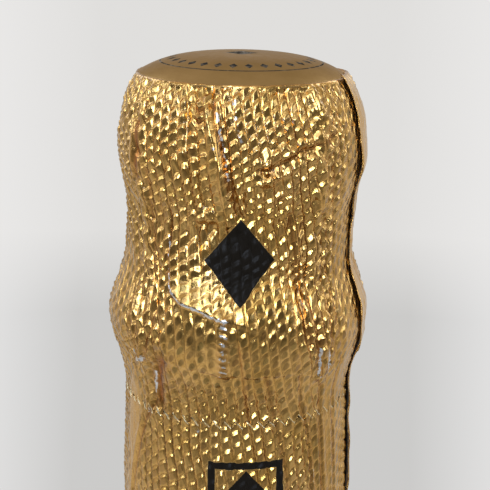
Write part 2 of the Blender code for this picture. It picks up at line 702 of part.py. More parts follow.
def build():
    """Make every piece of the bottle."""
    clear_scene()
    collection = make_collection("champagne_bottle")
    glass = make_material("dark_green_glass", (0.02, 0.05, 0.02), 0.08, 0)
    wine_finish = make_material("pale_gold_wine", (0.75, 0.6, 0.2), 0.05, 0)
    cork_finish = make_material("agglomerated_cork", (0.62, 0.42, 0.24), 0.8, 0)
    natural_cork = make_material("natural_cork", (0.7, 0.5, 0.3), 0.75, 0)
    plaque_finish = make_material("lacquered_tinplate", (0.62, 0.42, 0.14), 0.35, 1)
    wire_finish = make_material("galvanised_wire", (0.6, 0.6, 0.58), 0.35, 1)
    foil = make_material("embossed_gold_foil", (0.72, 0.5, 0.16), 0.3, 1)
    disc_finish = make_material("smooth_gold_foil", (0.5, 0.33, 0.1), 0.35, 1)
    paper = make_material("cream_paper", (0.85, 0.8, 0.68), 0.7, 0)
    band = make_material("black_paper", (0.03, 0.03, 0.03), 0.6, 0)

    profile = glass_inside(0)[::-1] + glass_outside()
    profile += [(PUNT_RADIUS * wide, PUNT_DEPTH * deep) for wide, deep in PUNT_SHARES]
    turned(collection, "glass_bottle", profile, glass, GLASS_SEGMENTS)

    fill_level = LIP_TOP - ULLAGE
    wall = glass_inside(GAP)
    wet = [point for point in wall if point[1] < fill_level]
    surface = [(0, fill_level), (outline_radius(wall, fill_level), fill_level)]
    turned(collection, "wine", surface + wet, wine_finish, GLASS_SEGMENTS)

    cork_group = add_empty(collection, "cork_axis", CORK_SEAT)
    cage_group = add_empty(collection, "muselet_axis", FLANGE_TOP)
    capsule_group = add_empty(collection, "capsule_axis", CAPSULE_RIM)

    carry(turned(collection, "cork_body", CORK_OUTLINE, cork_finish, CORK_SEGMENTS), cork_group)
    upper = cork_disc_outline(CORK_BOTTOM + CORK_DISC_THICKNESS + GAP, 0)
    lower = cork_disc_outline(CORK_BOTTOM, CORK_CHAMFER)
    carry(turned(collection, "cork_disc_upper", upper, natural_cork, CORK_SEGMENTS), cork_group)
    carry(turned(collection, "cork_disc_lower", lower, natural_cork, CORK_SEGMENTS), cork_group)

    carry(turned(collection, "muselet_plaque", PLAQUE_OUTLINE, plaque_finish, DISC_SEGMENTS), cage_group)
    for number in range(LEG_COUNT):
        name = f"muselet_wire_{number + 1}"
        carry(wire(collection, name, cage_wire_path(number), CAGE_WIRE, wire_finish), cage_group)
    carry(wire(collection, "muselet_belt", belt_path(), BELT_WIRE, wire_finish), cage_group)

    skirt = sheet(collection, "capsule_skirt", wrap_columns(True), skirt_heights(), skirt_radius,
                  FOIL_THICKNESS, foil)
    carry(skirt, capsule_group)
    carry(turned(collection, "capsule_disc", disc_outline(), disc_finish, DISC_SEGMENTS), capsule_group)
    heights = between(TEAR_LINE, SLEEVE_BOTTOM, 9)
    sheet(collection, "capsule_sleeve", wrap_columns(False), heights, sleeve_radius, FOIL_THICKNESS, foil)

    front = (FRONT_LABEL_WIDTH, FRONT_LABEL_HEIGHT)
    back = (BACK_LABEL_WIDTH, BACK_LABEL_HEIGHT)
    body_label(collection, "front_label", 0, front, FRONT_LABEL_BOTTOM, paper)
    body_label(collection, "back_label", math.pi, back, BACK_LABEL_BOTTOM, paper)
    neck_label(collection, band)


build()
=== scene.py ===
"""The looks of a sealed champagne bottle: embossed foil, wire cage, cork, glass, wine and labels.

Lengths are in metres in the frame's axes: +Z up, the bottle's front towards -Y.
An azimuth is measured round the bottle from the front, positive towards +X.
A place on the foil is an azimuth in degrees and a depth below the capsule's rim in millimetres.
"""

import json
import math

import bmesh
import bpy
import numpy as np
from mathutils import Matrix, Vector

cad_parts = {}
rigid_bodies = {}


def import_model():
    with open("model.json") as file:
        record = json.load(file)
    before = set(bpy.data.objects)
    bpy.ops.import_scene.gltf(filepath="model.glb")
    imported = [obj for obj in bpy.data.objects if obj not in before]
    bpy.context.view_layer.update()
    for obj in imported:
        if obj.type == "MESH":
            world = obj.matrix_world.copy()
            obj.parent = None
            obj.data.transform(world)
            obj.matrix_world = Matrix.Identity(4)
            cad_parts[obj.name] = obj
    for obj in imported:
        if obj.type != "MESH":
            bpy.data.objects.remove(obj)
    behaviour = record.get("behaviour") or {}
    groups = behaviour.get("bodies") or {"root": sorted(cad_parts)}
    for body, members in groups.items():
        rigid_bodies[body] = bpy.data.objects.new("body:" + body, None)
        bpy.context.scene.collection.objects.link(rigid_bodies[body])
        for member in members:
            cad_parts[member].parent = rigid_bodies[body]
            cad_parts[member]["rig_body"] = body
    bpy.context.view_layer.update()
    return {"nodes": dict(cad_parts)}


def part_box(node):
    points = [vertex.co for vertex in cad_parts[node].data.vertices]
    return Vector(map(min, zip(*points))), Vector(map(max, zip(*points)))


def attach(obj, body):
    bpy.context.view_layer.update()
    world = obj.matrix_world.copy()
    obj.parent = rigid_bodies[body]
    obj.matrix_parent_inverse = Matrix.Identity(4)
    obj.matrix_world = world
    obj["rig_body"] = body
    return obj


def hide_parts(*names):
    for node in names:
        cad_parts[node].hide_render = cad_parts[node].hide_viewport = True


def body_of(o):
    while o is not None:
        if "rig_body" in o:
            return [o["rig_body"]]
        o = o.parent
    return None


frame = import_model()

MM = 0.001
PI = math.pi
FULL_TURN = 2 * PI

# Heights and radii that the frame gives
SLEEVE_LOW, SLEEVE_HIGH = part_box("capsule_sleeve")
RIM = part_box("capsule_skirt")[1].z
TEAR_LINE = SLEEVE_HIGH.z
SLEEVE_FOOT = SLEEVE_LOW.z
DISC_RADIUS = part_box("capsule_disc")[1].x
BODY_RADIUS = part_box("glass_bottle")[1].x

# Outline of the foil over the cork, the lip and the collar
HEAD_RADIUS = 18.6 * MM
HEAD_WIDEST = RIM - 11.23 * MM
WAIST_RADIUS = 17.22 * MM
WAIST_TOP = RIM - 20.56 * MM
WAIST_BOTTOM = RIM - 25.96 * MM
BULGE_RADIUS = 19.9 * MM
BULGE_MIDDLE = RIM - 36.36 * MM
TUCK_RADIUS = 17.66 * MM
TUCK_HEIGHT = RIM - 48.21 * MM
SLEEVE_FLARE = 0.55 * MM
SLEEVE_FLARE_LENGTH = 18 * MM
RIM_FULLNESS = 0.8
FOIL_RADIUS = 18.2 * MM
PROFILE_STEP = 0.05 * MM

# The smooth disc: its dome falls slowly at first and steeply at the edge
DISC_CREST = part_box("capsule_disc")[1].z
DISC_DROP = 2.85 * MM
DISC_POWER = 3.4
DISC_THICKNESS = 0.3 * MM

# Foil sheet
FOIL_THICKNESS = 0.2 * MM
FOIL_SINK = 0.12 * MM
ROLLED_EDGE = 0.2 * MM
ROLLED_WAVE = 0.2 * MM
ROLLED_REACH = 1.2 * MM
ROLLED_WAVE_SIZE = 1.3 * MM
STAMP_REACH = 0.4 * MM
RIM_HUG = 0.1 * MM
STRIP_HEIGHT = 0.35 * MM
STRIP_WAVE_SIZE = 2.2 * MM
# A painted shadow line where the foil rolls over the disc: its width and darkness
RIM_SHADOW = 0.4 * MM
RIM_SHADOW_DARKNESS = 0.85
BROWN_FLATTENING = 0.8
GLASS_CLEARANCE = 0.45 * MM
WIRE_CLEARANCE = 0.42 * MM
SEAM_OVERLAP = 5 * MM
SEAM_LIFT = 0.44 * MM
SEAM_THINNING = 0.3
SEAM_LIFT_REACH = 14 * MM
SEAM_PITCH = 1.1 * MM
SEAM_TOOTH = 0.35 * MM
SEAM_TOOTH_WAVE = 2 * MM
SEAM_MARGIN = 5.5 * MM
# Share of the embossing left along the seam, and of the folds and crumples under the overlap
SEAM_STAMP = 0.08
UNDER_FOLDS = 0.3
UNDER_CRUMPLE = 0.4
# The overlap's lift and flare vary by a share along the seam
SEAM_MEAN = 0.85
SEAM_VARIATION = 0.3
SEAM_UNEVEN_SIZE = 3.5 * MM
SEAM_FLARE = 0.22 * MM
SEAM_FLARE_REACH = 1.4 * MM
# Values stored in the mesh: how much of the stamp, of the painted crease shade, and of the silver of wear
# and painted sheen is there
FOIL_VALUES = ("stamp", "crease_shade", "wear_and_sheen")
# The seam's free edge: azimuth at depths below the rim
SEAM_LINE = ((64, 0), (66, 9), (71, 20), (70, 26), (66, 35), (72, 44), (79, 52), (77, 70), (78, 112))

# Wires under the foil and their finer pieces
WIRE_NODES = {f"muselet_wire_{number}": f"cage_wire_{number}" for number in range(1, 5)}
WIRE_NODES["muselet_belt"] = "belt_wire"
# Their reach in cells of azimuth and height, and how far it spreads
REACH_FOOT = 270 * MM
REACH_STEP = 0.35 * MM
REACH_GRID = (360, 150)
REACH_SPREAD = 1
LIFT_SPREAD = 3

# Embossed cells
CELL_COLUMNS = 82
CELL_LEAN = math.tan(math.radians(7))
CELL_WIDTH = FULL_TURN * FOIL_RADIUS / CELL_COLUMNS
# Columns a turn on the front, where pleats take up the rest, and rows from the rim, at depths in mm
COLUMNS_AT = ((0, 80), (12, 80), (23, 73), (36, 84), (50, 69), (120, 67))
ROWS_AT = ((0, 0), (30, 17.2), (55, 30.4), (120, 61.8))
FRONT_TURN = math.radians(70)
GROOVE_RISE = 0.5
CELL_ARCH = 0.14
ROW_SHIFT = 0.32
CELL_DEPTH = 0.33 * MM
# Tilt of a cell, and how it follows the unevenness
CELL_TILT = 0.17 * MM
TILT_LEAST = 0.5
TILT_GAIN = 0.7
CELL_CREST_SHARE = 0.36
CELL_FALL_SHARE = 0.85
CELL_SIDE_SHARE = 0.23
CELL_WARP = 0.22
# Share of the cells' relief on the sleeve, the depth where it starts to change, and over what length
SLEEVE_CELLS = 0.82
SLEEVE_CELLS_START = 44 * MM
SLEEVE_CELLS_REACH = 8 * MM
ROW_WARP = 0.4
WARP_SIZE = 5 * MM
# Unevenness: what there is of it far down, what the head adds, and where and within what that fades
LIVELY_LEAST = 0.35
LIVELY_GAIN = 0.75
LIVELY_FOOT = 30 * MM
LIVELY_FADE = 22 * MM
# An oval of painted shade on each cell's lower slope: half width, half length, middle down the cell, and
# where it is full
OVAL_HALF_WIDTH = 0.4
OVAL_HALF_LENGTH = 0.33
OVAL_MIDDLE = 0.62
OVAL_FULL = 0.45
# Grooves between columns and between rows, for relief and for painted shade: where they start and end from
# a cell's middle
COLUMN_GROOVE = (0.41, 0.5)
ROW_GROOVE = (0.43, 0.5)
ROW_GROOVE_SHARE = 0.4
# A column's groove goes from faint to strong within a range of its chance
GROOVE_CHANCES = (0.45, 0.8)
GROOVE_STRENGTHS = (0.35, 1.2)

# Perforation at the tear line
SLIT_COUNT = 68
SLIT_FALL = 1.15 * MM
SLIT_SHARE = 0.65
SLIT_GAP = 0.04 * MM
SLIT_LIP = 0.12 * MM
SLIT_LIP_REACH = 0.4 * MM
SLIT_RIDGE = 0.08 * MM
SLIT_RIDGE_HALF_WIDTH = 0.2 * MM

# Zones rubbed flat: azimuth, depth, half width in degrees, half height, share of the relief lost.
# They fade from a share of those half sizes, within another share.
ZONE_FLAT = 0.6
ZONE_FADE = 0.7
FLAT_ZONES = (
    (-5.2, 36.5, 3, 5.5, 0.95),
    (11, 35.5, 22, 8, 0.62),
    (54, 62, 10, 34, 0.7),
    (-53, 9.8, 3, 4.6, 1),
    (-19, 28, 11, 5, 0.7),
    (-22, 35.5, 11, 5.5, 0.75),
    (-9, 37.5, 5, 4.5, 0.8),
    (-60, 52, 10, 10, 0.95),
    (-62, 80, 12, 26, 0.95),
    (10, 41.5, 26, 2.2, 0.5),
    (-24, 41, 14, 1.8, 0.5),
    (32, 46, 9, 5, 0.6),
    (48, 54, 8, 14, 0.6),
    (64, 22, 11, 34, 0.75),
    (-66, 31, 13, 8, 0.75),
    (130, 41, 30, 3, 0.7),
    (210, 42, 30, 3, 0.7),
    (-11.5, 7, 3.5, 5, 0.85),
    (-7.5, 14, 3, 5.5, 0.8),
    (-18, 4, 4, 1.8, 0.6),
    (-110, 41, 30, 3, 0.7),
)

# Sharp folds on the front: half width in mm, depth in mm (a ridge where negative), how dark the painted
# crease shade is, and places
FOLDS = (
    (0.5, 0.6, 0.9, ((9.5, 11.5), (14.6, 11.1), (21.4, 10), (28.5, 8.8), (38, 8), (45, 7.3))),
    (0.5, -0.45, 0.1, ((10.8, 10.1), (13.7, 9.1), (20.2, 8.2), (24, 8.9))),
    (0.4, -0.35, 0.1, ((10.5, 11.9), (11.5, 12.8), (15, 13.4), (16.7, 12.2))),
    (0.7, -0.4, 0.0, ((36.6, 10.2), (40.9, 12.1), (41.8, 14.9), (45.2, 17.3))),
    (0.35, 0.25, 0.4, ((16.7, 12.6), (20, 17.7), (24, 20))),
    (0.35, 0.45, 1.0, ((24.5, 18), (26.4, 20.8), (29.1, 25.2), (29.4, 29.2), (30.3, 32.8), (32.8, 36.5))),
    (0.5, -0.4, 0.1, ((29, 19), (31.5, 25), (32.5, 30), (34.5, 35))),
    (0.6, -0.7, 0.15, ((-54.5, 6), (-53, 9.8), (-54.4, 13.3))),
    (0.6, 0.6, 1.4, ((-51.8, 6), (-50.4, 9.8), (-52, 13.3))),
    (0.9, -0.75, 0.0, ((-15.5, 2.5), (-12, 6.5), (-8.5, 10.5), (-6.5, 14), (-5, 19))),
    (0.3, 0.45, 1.6, ((-12.5, 2.5), (-9, 6.5), (-5.5, 10.5), (-4, 14))),
    (0.25, 0.5, 2.0, ((-20.5, 3), (-18.5, 3.7), (-16.5, 3.3))),
    (0.25, 0.5, 2.0, ((-19.5, 4.5), (-18.2, 5.1), (-16.8, 4.7))),
    (0.6, -0.35, 0.0, ((24, 14), (26, 19), (29, 24))),
    (0.35, 0.3, 0.9, ((-44.7, 12.3), (-44.7, 15.8), (-45.8, 19.7), (-44.2, 23.4), (-43.1, 26.6),
                      (-41, 31))),
    (0.4, -0.3, 0.3, ((-8.9, 1.1), (-4.7, 5.8), (-1.1, 13), (2.8, 17.7))),
    (0.3, 0.25, 0.5, ((-11, 1.1), (-7, 5.8), (-3.4, 13), (0.5, 17.7))),
    (0.4, -0.35, 0.2, ((45.1, 21.7), (47.9, 24.4), (43.5, 25.4), (48.7, 28.7))),
    (0.3, 0.3, 1.0, ((-33.4, 20), (-34.8, 24.1), (-32.3, 26.5), (-30.6, 28.9))),
    (0.3, 0.25, 0.4, ((-24, 3), (-22, 10), (-19, 18), (-17, 25))),
    (0.3, -0.3, 0.2, ((-11, 1.6), (-9, 6), (-5, 12), (0, 18))),
    (0.25, 0.25, 0.7, ((-32, 16), (-33, 22), (-35, 29))),
    (0.25, 0.22, 0.6, ((-39, 12), (-40, 20), (-42, 28), (-43, 36))),
    (0.3, 0.3, 0.8, ((-57, 30), (-54, 35), (-50, 40))),
    (0.3, 0.35, 0.8, ((-49, 29), (-48, 35), (-48, 39.6))),
    (0.3, 0.35, 0.9, ((-36, 31), (-40, 36), (-44, 40.2))),
    (0.3, -0.3, 0.2, ((-52, 30), (-50, 35), (-48.5, 39.5))),
    (0.3, -0.3, 0.2, ((-42, 31), (-44, 36), (-46, 39.8))),
    (0.35, 0.4, 1.0, ((33, 30), (36, 35), (38, 41))),
    (0.3, 0.35, 0.9, ((46, 30), (44, 35), (43, 41.4))),
    (0.3, 0.3, 0.7, ((1, 35.4), (2, 38), (3.5, 41), (5, 45), (6.5, 48.2))),
    (0.3, 0.3, 0.8, ((13, 40.8), (15.5, 44), (19, 48), (24, 54), (28, 62))),
    (0.22, 0.35, 1.0, ((29.5, 41.2), (31, 44), (33.5, 47), (37.5, 51), (40, 58), (41, 66))),
    (1.0, 0.6, 1.3, ((-34, 39.6), (-36.5, 41.5), (-38.5, 44), (-39.4, 46.6))),
    (0.35, 0.45, 1.2, ((-42, 47.2), (-50, 50.6), (-53.8, 54.5), (-56.2, 57.4), (-57.7, 59.7), (-60, 64))),
    (0.3, 0.3, 0.7, ((44, 44), (46, 52), (48, 62), (49, 78))),
    (0.3, 0.25, 0.5, ((53, 40), (56, 50), (58, 66))),
)
FOLD_SOFTNESS = 0.12 * MM
FOLD_MARGIN = 4 * MM
# The swelling beside a fold: its share of the depth, its distance in half widths and its lean.
# The painted shade beside it fades within a share of the fold's half width.
SWELLING_SHARE = 0.45
SWELLING_PLACE = 2.2
SWELLING_LEAN = 0.3
SHADE_FADE_SHARE = 0.7
# The line where the foil is pressed in under the collar
BELT_FOLD = ((-60, 39.5), (-47, 40.6), (-31.4, 39.1), (-5.8, 40.1), (8.4, 40.5), (29, 40.6),
             (40, 42.2), (60, 41))
BELT_FOLD_STEP = 0.2 * MM
BELT_FOLD_WIDTH = 0.5 * MM
BELT_FOLD_RECOVERY = 9 * MM
# The loop's lower edge and the twisted tail, as they press through
LOOP_EDGE = ((-35, 17), (-34.5, 21), (-33.4, 24), (-30.6, 28.9), (-24, 30.4), (-17, 30.9),
             (-9, 31.8), (-3, 32.4))
LOOP_STEP = 1.6 * MM
# The step starts at this depth and grows over a length, and it fades on its right over another
LOOP_TOP = 19 * MM
LOOP_GROWTH = 11 * MM
LOOP_RIGHT = math.radians(2) * FOIL_RADIUS
LOOP_RIGHT_REACH = 4 * MM
LOOP_EDGE_WIDTH = 0.45 * MM
LOOP_FADE = 8 * MM
TENT_SHARE = 0.65
TENT_REACH = 8 * MM
# The foil's fullness right of the loop: azimuth and half width, and depths of its start, top and end
APRON_RISE = 0.9 * MM
APRON_TURNS = (math.radians(15), math.radians(17))
APRON_DEPTHS = (26 * MM, 31 * MM, 39.5 * MM)
TAIL_LINE = ((-5, 32.4), (-5.2, 36), (-5.4, 40))
TAIL_HALF_WIDTH = 0.75 * MM
TAIL_RISE = 0.25 * MM
TAIL_RIPPLE = 0.2 * MM
# Painted shade between the tail's turns, and silver on their crests as wear and painted highlight
TAIL_SHADE_BETWEEN = 0.5
TAIL_WEAR_AND_SHEEN = 1.0
TAIL_RIPPLE_PITCH = 1.05 * MM
TAIL_SLANT = -0.35
# Legs of the cage, as they press through from the collar to the belt
LEG_FEET = ((-47.5, 31, 40.5), (40, 30, 42), (130, 31, 41.5), (220, 31, 41.5))
LEG_HALF_WIDTH = 1.1 * MM
LEG_RISE = 0.5 * MM
# Silver of wear at folds, edges and the cage's feet, and as painted sheen on the head and as wear and
# painted highlight along the loop's edge: half width in mm, strength and places
WEAR_AND_SHEEN_LINES = (
    (0.2, 1.3, ((-31, 28.3), (-27.6, 29.6), (-24, 30.5), (-17, 31), (-9, 31.9), (-4, 32.3))),
    (0.17, 0.8, ((-34.3, 21.5), (-33.4, 24.5), (-31, 28.3))),
    (0.5, 0.3, ((-5, 32.6), (-5.2, 36), (-5.3, 39.6))),
    (0.6, 0.95, ((-50, 39.2), (-47.5, 40.4), (-44.5, 40))),
    (0.2, 1.2, ((37.2, 37.2), (37.8, 39.8), (38.3, 41.4))),
    (0.17, 1.1, ((42.5, 37.6), (44, 40), (44.6, 42))),
    (0.17, 1.0, ((38.6, 41.7), (41, 42.3), (44, 42.2))),
    (0.26, 1.3, ((-39.4, 42), (-41.2, 44), (-42.4, 45.6))),
    (0.35, 0.7, ((-48.6, 48.6), (-47.4, 49.6))),
    (0.4, 0.5, ((-19.5, 49.6), (-17, 50.6))),
    (0.18, 0.7, ((41.4, 57.6), (41.8, 60))),
    # Painted sheen and glare on the head
    (0.4, 0.5, ((-12, 7), (-10, 8.4))),
    (0.3, 0.75, ((-10.5, 3.5), (-7, 8), (-4.5, 12.5))),
    (0.4, 0.55, ((-3, 2), (-1.5, 5), (1, 8))),
)

# Crumpled facets and loose folds over the whole foil
FACET_SPACING = 4.2 * MM
FACET_DEPTH = 0.26 * MM
FACET_TILT = 0.09
STREAK_COUNT = 70
STREAK_LENGTH = 14 * MM
STREAK_DEPTH = 0.2
STREAK_HALF_WIDTH = 0.28
CRINKLE_SIZE = (0.9 * MM, 1.6 * MM)
CRINKLE_SHARE = 0.4
DENT_SIZE = (11 * MM, 15.4 * MM)
DENT_DEPTH = 0.3 * MM
DENT_LEAST = 0.4

# Turned pieces: distance within which vertices are one, and limits of sharp corners and level ends
MERGE_DISTANCE = 0.01 * MM
CORNER_TURN = math.radians(32)
AXIS_SLOPE = 0.12

# Columns and rows of the foil's pieces, each one more than a multiple of the lining's step
LINING_STEP = 3
COLUMN_PLACES = ((0, 0), (0.07, 0.045), (0.45, 0.57), (1, 1))
SKIRT_GRID = (448, 196)
SLEEVE_GRID = (448, 190)
# Units after which the noise repeats
LATTICE = 61


def ease(start, end, share):
    """A smooth change from start to end as share goes from 0 to 1."""
    share = np.clip(share, 0, 1)
    return start + (end - start) * share * share * (3 - 2 * share)


def ease_in(least, share):
    """A factor from a least value to 1 as share goes from 0 to 1."""
    return least + (1 - least) * share


def fall_off(distance, width):
    """How much of an effect is left at a distance from its middle."""
    return np.exp(-((distance / width) ** 2))


def around(radius, azimuth, height):
    """Points at azimuths, radii from the axis and heights."""
    return np.stack([radius * np.sin(azimuth), -radius * np.cos(azimuth), height], axis=-1)


def noise(across, down, seed):
    """Smooth noise from -1 to 1 with a lattice of one unit."""
    table = np.random.default_rng(seed).uniform(-1, 1, (LATTICE, LATTICE))
    column, row = np.floor(across).astype(int), np.floor(down).astype(int)
    aside, along = ease(0, 1, across - column), ease(0, 1, down - row)

    def corner(right, below):
        return table[(column + right) % LATTICE, (row + below) % LATTICE]

    upper = corner(0, 0) * (1 - aside) + corner(1, 0) * aside
    lower = corner(0, 1) * (1 - aside) + corner(1, 1) * aside
    return upper * (1 - along) + lower * along


def facets(across, down, spacing, tilt, seed):
    """Shallow creased facets, like those of crumpled foil: the lowest of many tilted bowls."""
    chance = np.random.default_rng(seed)
    width, length = np.ptp(across), np.ptp(down)
    count = int(width * length / spacing**2)
    middles = chance.uniform(0, 1, (count, 2)) * (width, length) + (across.min(), down.min())
    tilts = chance.normal(0, tilt, (count, 2))
    lowest = np.full(across.shape, np.inf)
    for (right, below), (lean, pitch) in zip(middles, tilts):
        aside, along = across - right, down - below
        bowl = (aside * aside + along * along * 0.5) / spacing + lean * aside + pitch * along
        lowest = np.minimum(lowest, bowl)
    return lowest / spacing


def line_distance(across, down, places):
    """Distance to a broken line, and the side of it: positive on the right going along."""
    nearest = np.full(across.shape, np.inf)
    side = np.zeros(across.shape)
    for (start_x, start_y), (end_x, end_y) in zip(places, places[1:]):
        run_x, run_y = end_x - start_x, end_y - start_y
        off_x, off_y = across - start_x, down - start_y
        share = np.clip((off_x * run_x + off_y * run_y) / (run_x**2 + run_y**2), 0, 1)
        away = np.hypot(off_x - share * run_x, off_y - share * run_y)
        closer = away < nearest
        nearest = np.where(closer, away, nearest)
        side = np.where(closer, np.sign(run_x * off_y - run_y * off_x), side)
    return nearest, side


def on_sheet(places):
    """Foil places as lengths across and down the unrolled sheet."""
    return [(math.radians(turn) * FOIL_RADIUS, depth * MM) for turn, depth in places]


def meridian(node):
    """The (radius, height) profile of a turned node, in order from axis to axis."""
    mesh = bmesh.new()
    mesh.from_mesh(frame["nodes"][node].data)
    bmesh.ops.remove_doubles(mesh, verts=mesh.verts, dist=MERGE_DISTANCE)
    near = MERGE_DISTANCE / 2
    cut = [v for v in mesh.verts if abs(v.co.y) < near and v.co.x > -near]
    beside = {v: [e.other_vert(v) for e in v.link_edges if e.other_vert(v) in cut] for v in cut}
    path = [max((v for v in cut if len(beside[v]) < 2), key=lambda v: v.co.z)]
    ahead = beside[path[-1]]
    while ahead:
        path.append(ahead[0])
        ahead = [v for v in beside[path[-1]] if v not in path]
    points = [(v.co.x, v.co.z) for v in path]
    mesh.free()
    first, last = points[0], points[-1]
    points = [(0.0, first[1])] * (first[0] > near) + points + [(0.0, last[1])] * (last[0] > near)
    return np.array([(max(radius, 0.0), height) for radius, height in points])


def rounded(points, cut):
    """A profile with each sharp corner cut back to a small round."""
    result = [points[0]]
    for before, here, after in zip(points, points[1:], points[2:]):
        back, ahead = before - here, after - here
        back_length, ahead_length = np.hypot(*back), np.hypot(*ahead)
        turn = PI - math.acos(np.clip(back @ ahead / (back_length * ahead_length), -1, 1))
        if turn < CORNER_TURN:
            result.append(here)
            continue
        start = here + back * min(cut / back_length, 0.4)
        end = here + ahead * min(cut / ahead_length, 0.4)
        for share in (0, 0.25, 0.5, 0.75, 1):
            result.append(start * (1 - share) ** 2 + here * 2 * share * (1 - share) + end * share**2)
    result.append(points[-1])
    return np.array(result)


def smoothed(points, step):
    """A profile with curves between its points, and its sharp corners kept."""
    runs = np.diff(points, axis=0)
    lengths = np.hypot(*runs.T)
    headings = runs / lengths[:, None]
    leaving, arriving = headings.copy(), headings.copy()
    for i in range(1, len(headings)):
        if math.acos(np.clip(headings[i - 1] @ headings[i], -1, 1)) < CORNER_TURN:
            shared = headings[i - 1] * lengths[i - 1] + headings[i] * lengths[i]
            leaving[i] = arriving[i - 1] = shared / np.hypot(*shared)
    for end, headings_there in ((0, leaving), (-1, arriving)):
        if abs(headings_there[end][1]) < AXIS_SLOPE:
            headings_there[end] = (np.sign(headings_there[end][0]), 0)
    result = [points[0]]
    for start, end, length, leave, arrive in zip(points, points[1:], lengths, leaving, arriving):
        count = int(np.clip(math.ceil(length / step), 1, 24))
        for share in np.linspace(0, 1, count + 1)[1:]:
            square, cube = share**2, share**3
            result.append(
                start * (2 * cube - 3 * square + 1)
                + end * (3 * square - 2 * cube)
                + leave * length * (cube - 2 * square + share)
                + arrive * length * (cube - square)
            )
    return np.array(result)


def quads(grid):
    """The four corners of each cell of a grid of vertex numbers, seen from outside."""
    corners = (grid[:-1, :-1], grid[1:, :-1], grid[1:, 1:], grid[:-1, 1:])
    return np.stack(corners, axis=-1).reshape(-1, 4)


def mesh_of(name, shell):
    """A mesh from an edited shell, which is then freed."""
    mesh = bpy.data.meshes.new(name)
    shell.to_mesh(mesh)
    shell.free()
    return mesh


def add_piece(name, mesh, *materials):
    """Put a mesh into the scene with its materials, shaded smooth."""
    for material in materials:
        mesh.materials.append(material)
    mesh.shade_smooth()
    piece = bpy.data.objects.new(name, mesh)
    bpy.context.scene.collection.objects.link(piece)
    return piece


def dress(piece, node):
    """The piece takes the place of a CAD node, and rides on its body."""
    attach(piece, body_of(frame["nodes"][node])[0])
    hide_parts(node)


def lathe(name, profile, material, segments):
    """A turned solid from a profile that begins and ends on the axis."""
    turns = np.arange(segments) * FULL_TURN / segments
    ring_points = profile[1:-1]
    rings = around(ring_points[:, :1], turns[None, :], ring_points[:, 1:] + 0 * turns[None, :])
    first, last = len(ring_points) * segments, len(ring_points) * segments + 1
    points = np.concatenate([rings.reshape(-1, 3), [(0, 0, profile[0][1]), (0, 0, profile[-1][1])]])
    numbers = np.arange(first).reshape(-1, segments)
    wrapped = np.concatenate([numbers, numbers[:, :1]], axis=1)
    faces = quads(wrapped).tolist()
    faces += [(first, a, b) for a, b in zip(wrapped[0], wrapped[0][1:])]
    faces += [(last, b, a) for a, b in zip(wrapped[-1], wrapped[-1][1:])]
    mesh = bpy.data.meshes.new(name)
    mesh.from_pydata(points.tolist(), [], [tuple(int(i) for i in face) for face in faces])
    shell = bmesh.new()
    shell.from_mesh(mesh)
    bmesh.ops.recalc_face_normals(shell, faces=shell.faces)
    shell.to_mesh(mesh)
    shell.free()
    piece = add_piece(name, mesh, material)
    mesh.set_sharp_from_angle(angle=CORNER_TURN)
    return piece


def closed_sheet(name, outer, inner, step, *materials):
    """A thin closed sheet from a grid of outer points and a coarser grid of inner ones."""
    count = outer.shape[0] * outer.shape[1]
    face = np.arange(count).reshape(outer.shape[:2])
    back = count + np.arange(inner.shape[0] * inner.shape[1]).reshape(inner.shape[:2])
    faces = quads(face).tolist()
    shown = len(faces)
    faces += quads(back)[:, ::-1].tolist()
    hidden = len(faces)
    borders = (
        (face[0], back[0]),
        (face[-1][::-1], back[-1][::-1]),
        (face[:, 0][::-1], back[:, 0][::-1]),
        (face[:, -1], back[:, -1]),
    )
    for fine, coarse in borders:
        for k in range(len(coarse) - 1):
            edge = fine[k * step:(k + 1) * step + 1].tolist()
            faces.append([*edge, int(coarse[k + 1]), int(coarse[k])])
    mesh = bpy.data.meshes.new(name)
    points = np.concatenate([outer.reshape(-1, 3), inner.reshape(-1, 3)])
    mesh.from_pydata(points.tolist(), [], faces)
    if len(materials) > 1:
        slots = np.zeros(len(faces), dtype=np.int32)
        slots[shown:hidden] = 1
        mesh.polygons.foreach_set("material_index", slots)
    return add_piece(name, mesh, *materials)


def point_values(mesh, name, values):
    """Store a value a vertex, with zero for the lining's vertices."""
    whole = np.zeros(len(mesh.vertices), dtype=np.float32)
    whole[:values.size] = values.reshape(-1)
    mesh.attributes.new(name, "FLOAT", "POINT").data.foreach_set("value", whole)


def point_places(mesh, name, across, down):
    """A UV layer that holds a place a vertex."""
    whole = np.zeros((len(mesh.vertices), 2), dtype=np.float32)
    whole[:across.size] = np.stack([across.reshape(-1), down.reshape(-1)], axis=-1)
    corners = np.zeros(len(mesh.loops), dtype=np.int32)
    mesh.loops.foreach_get("vertex_index", corners)
    mesh.uv_layers.new(name=name).data.foreach_set("uv", whole[corners].reshape(-1))


# The foil


def glass_radius(height):
    """The glass's outer radius at a height on the neck or shoulder."""
    lip = int(np.argmax(GLASS_PROFILE[:, 1] + GLASS_PROFILE[:, 0]))
    outside = GLASS_PROFILE[lip:]
    neck = outside[outside[:, 1] > SLEEVE_FOOT - SLEEVE_FLARE_LENGTH]
    return np.interp(height, neck[::-1, 1], neck[::-1, 0])


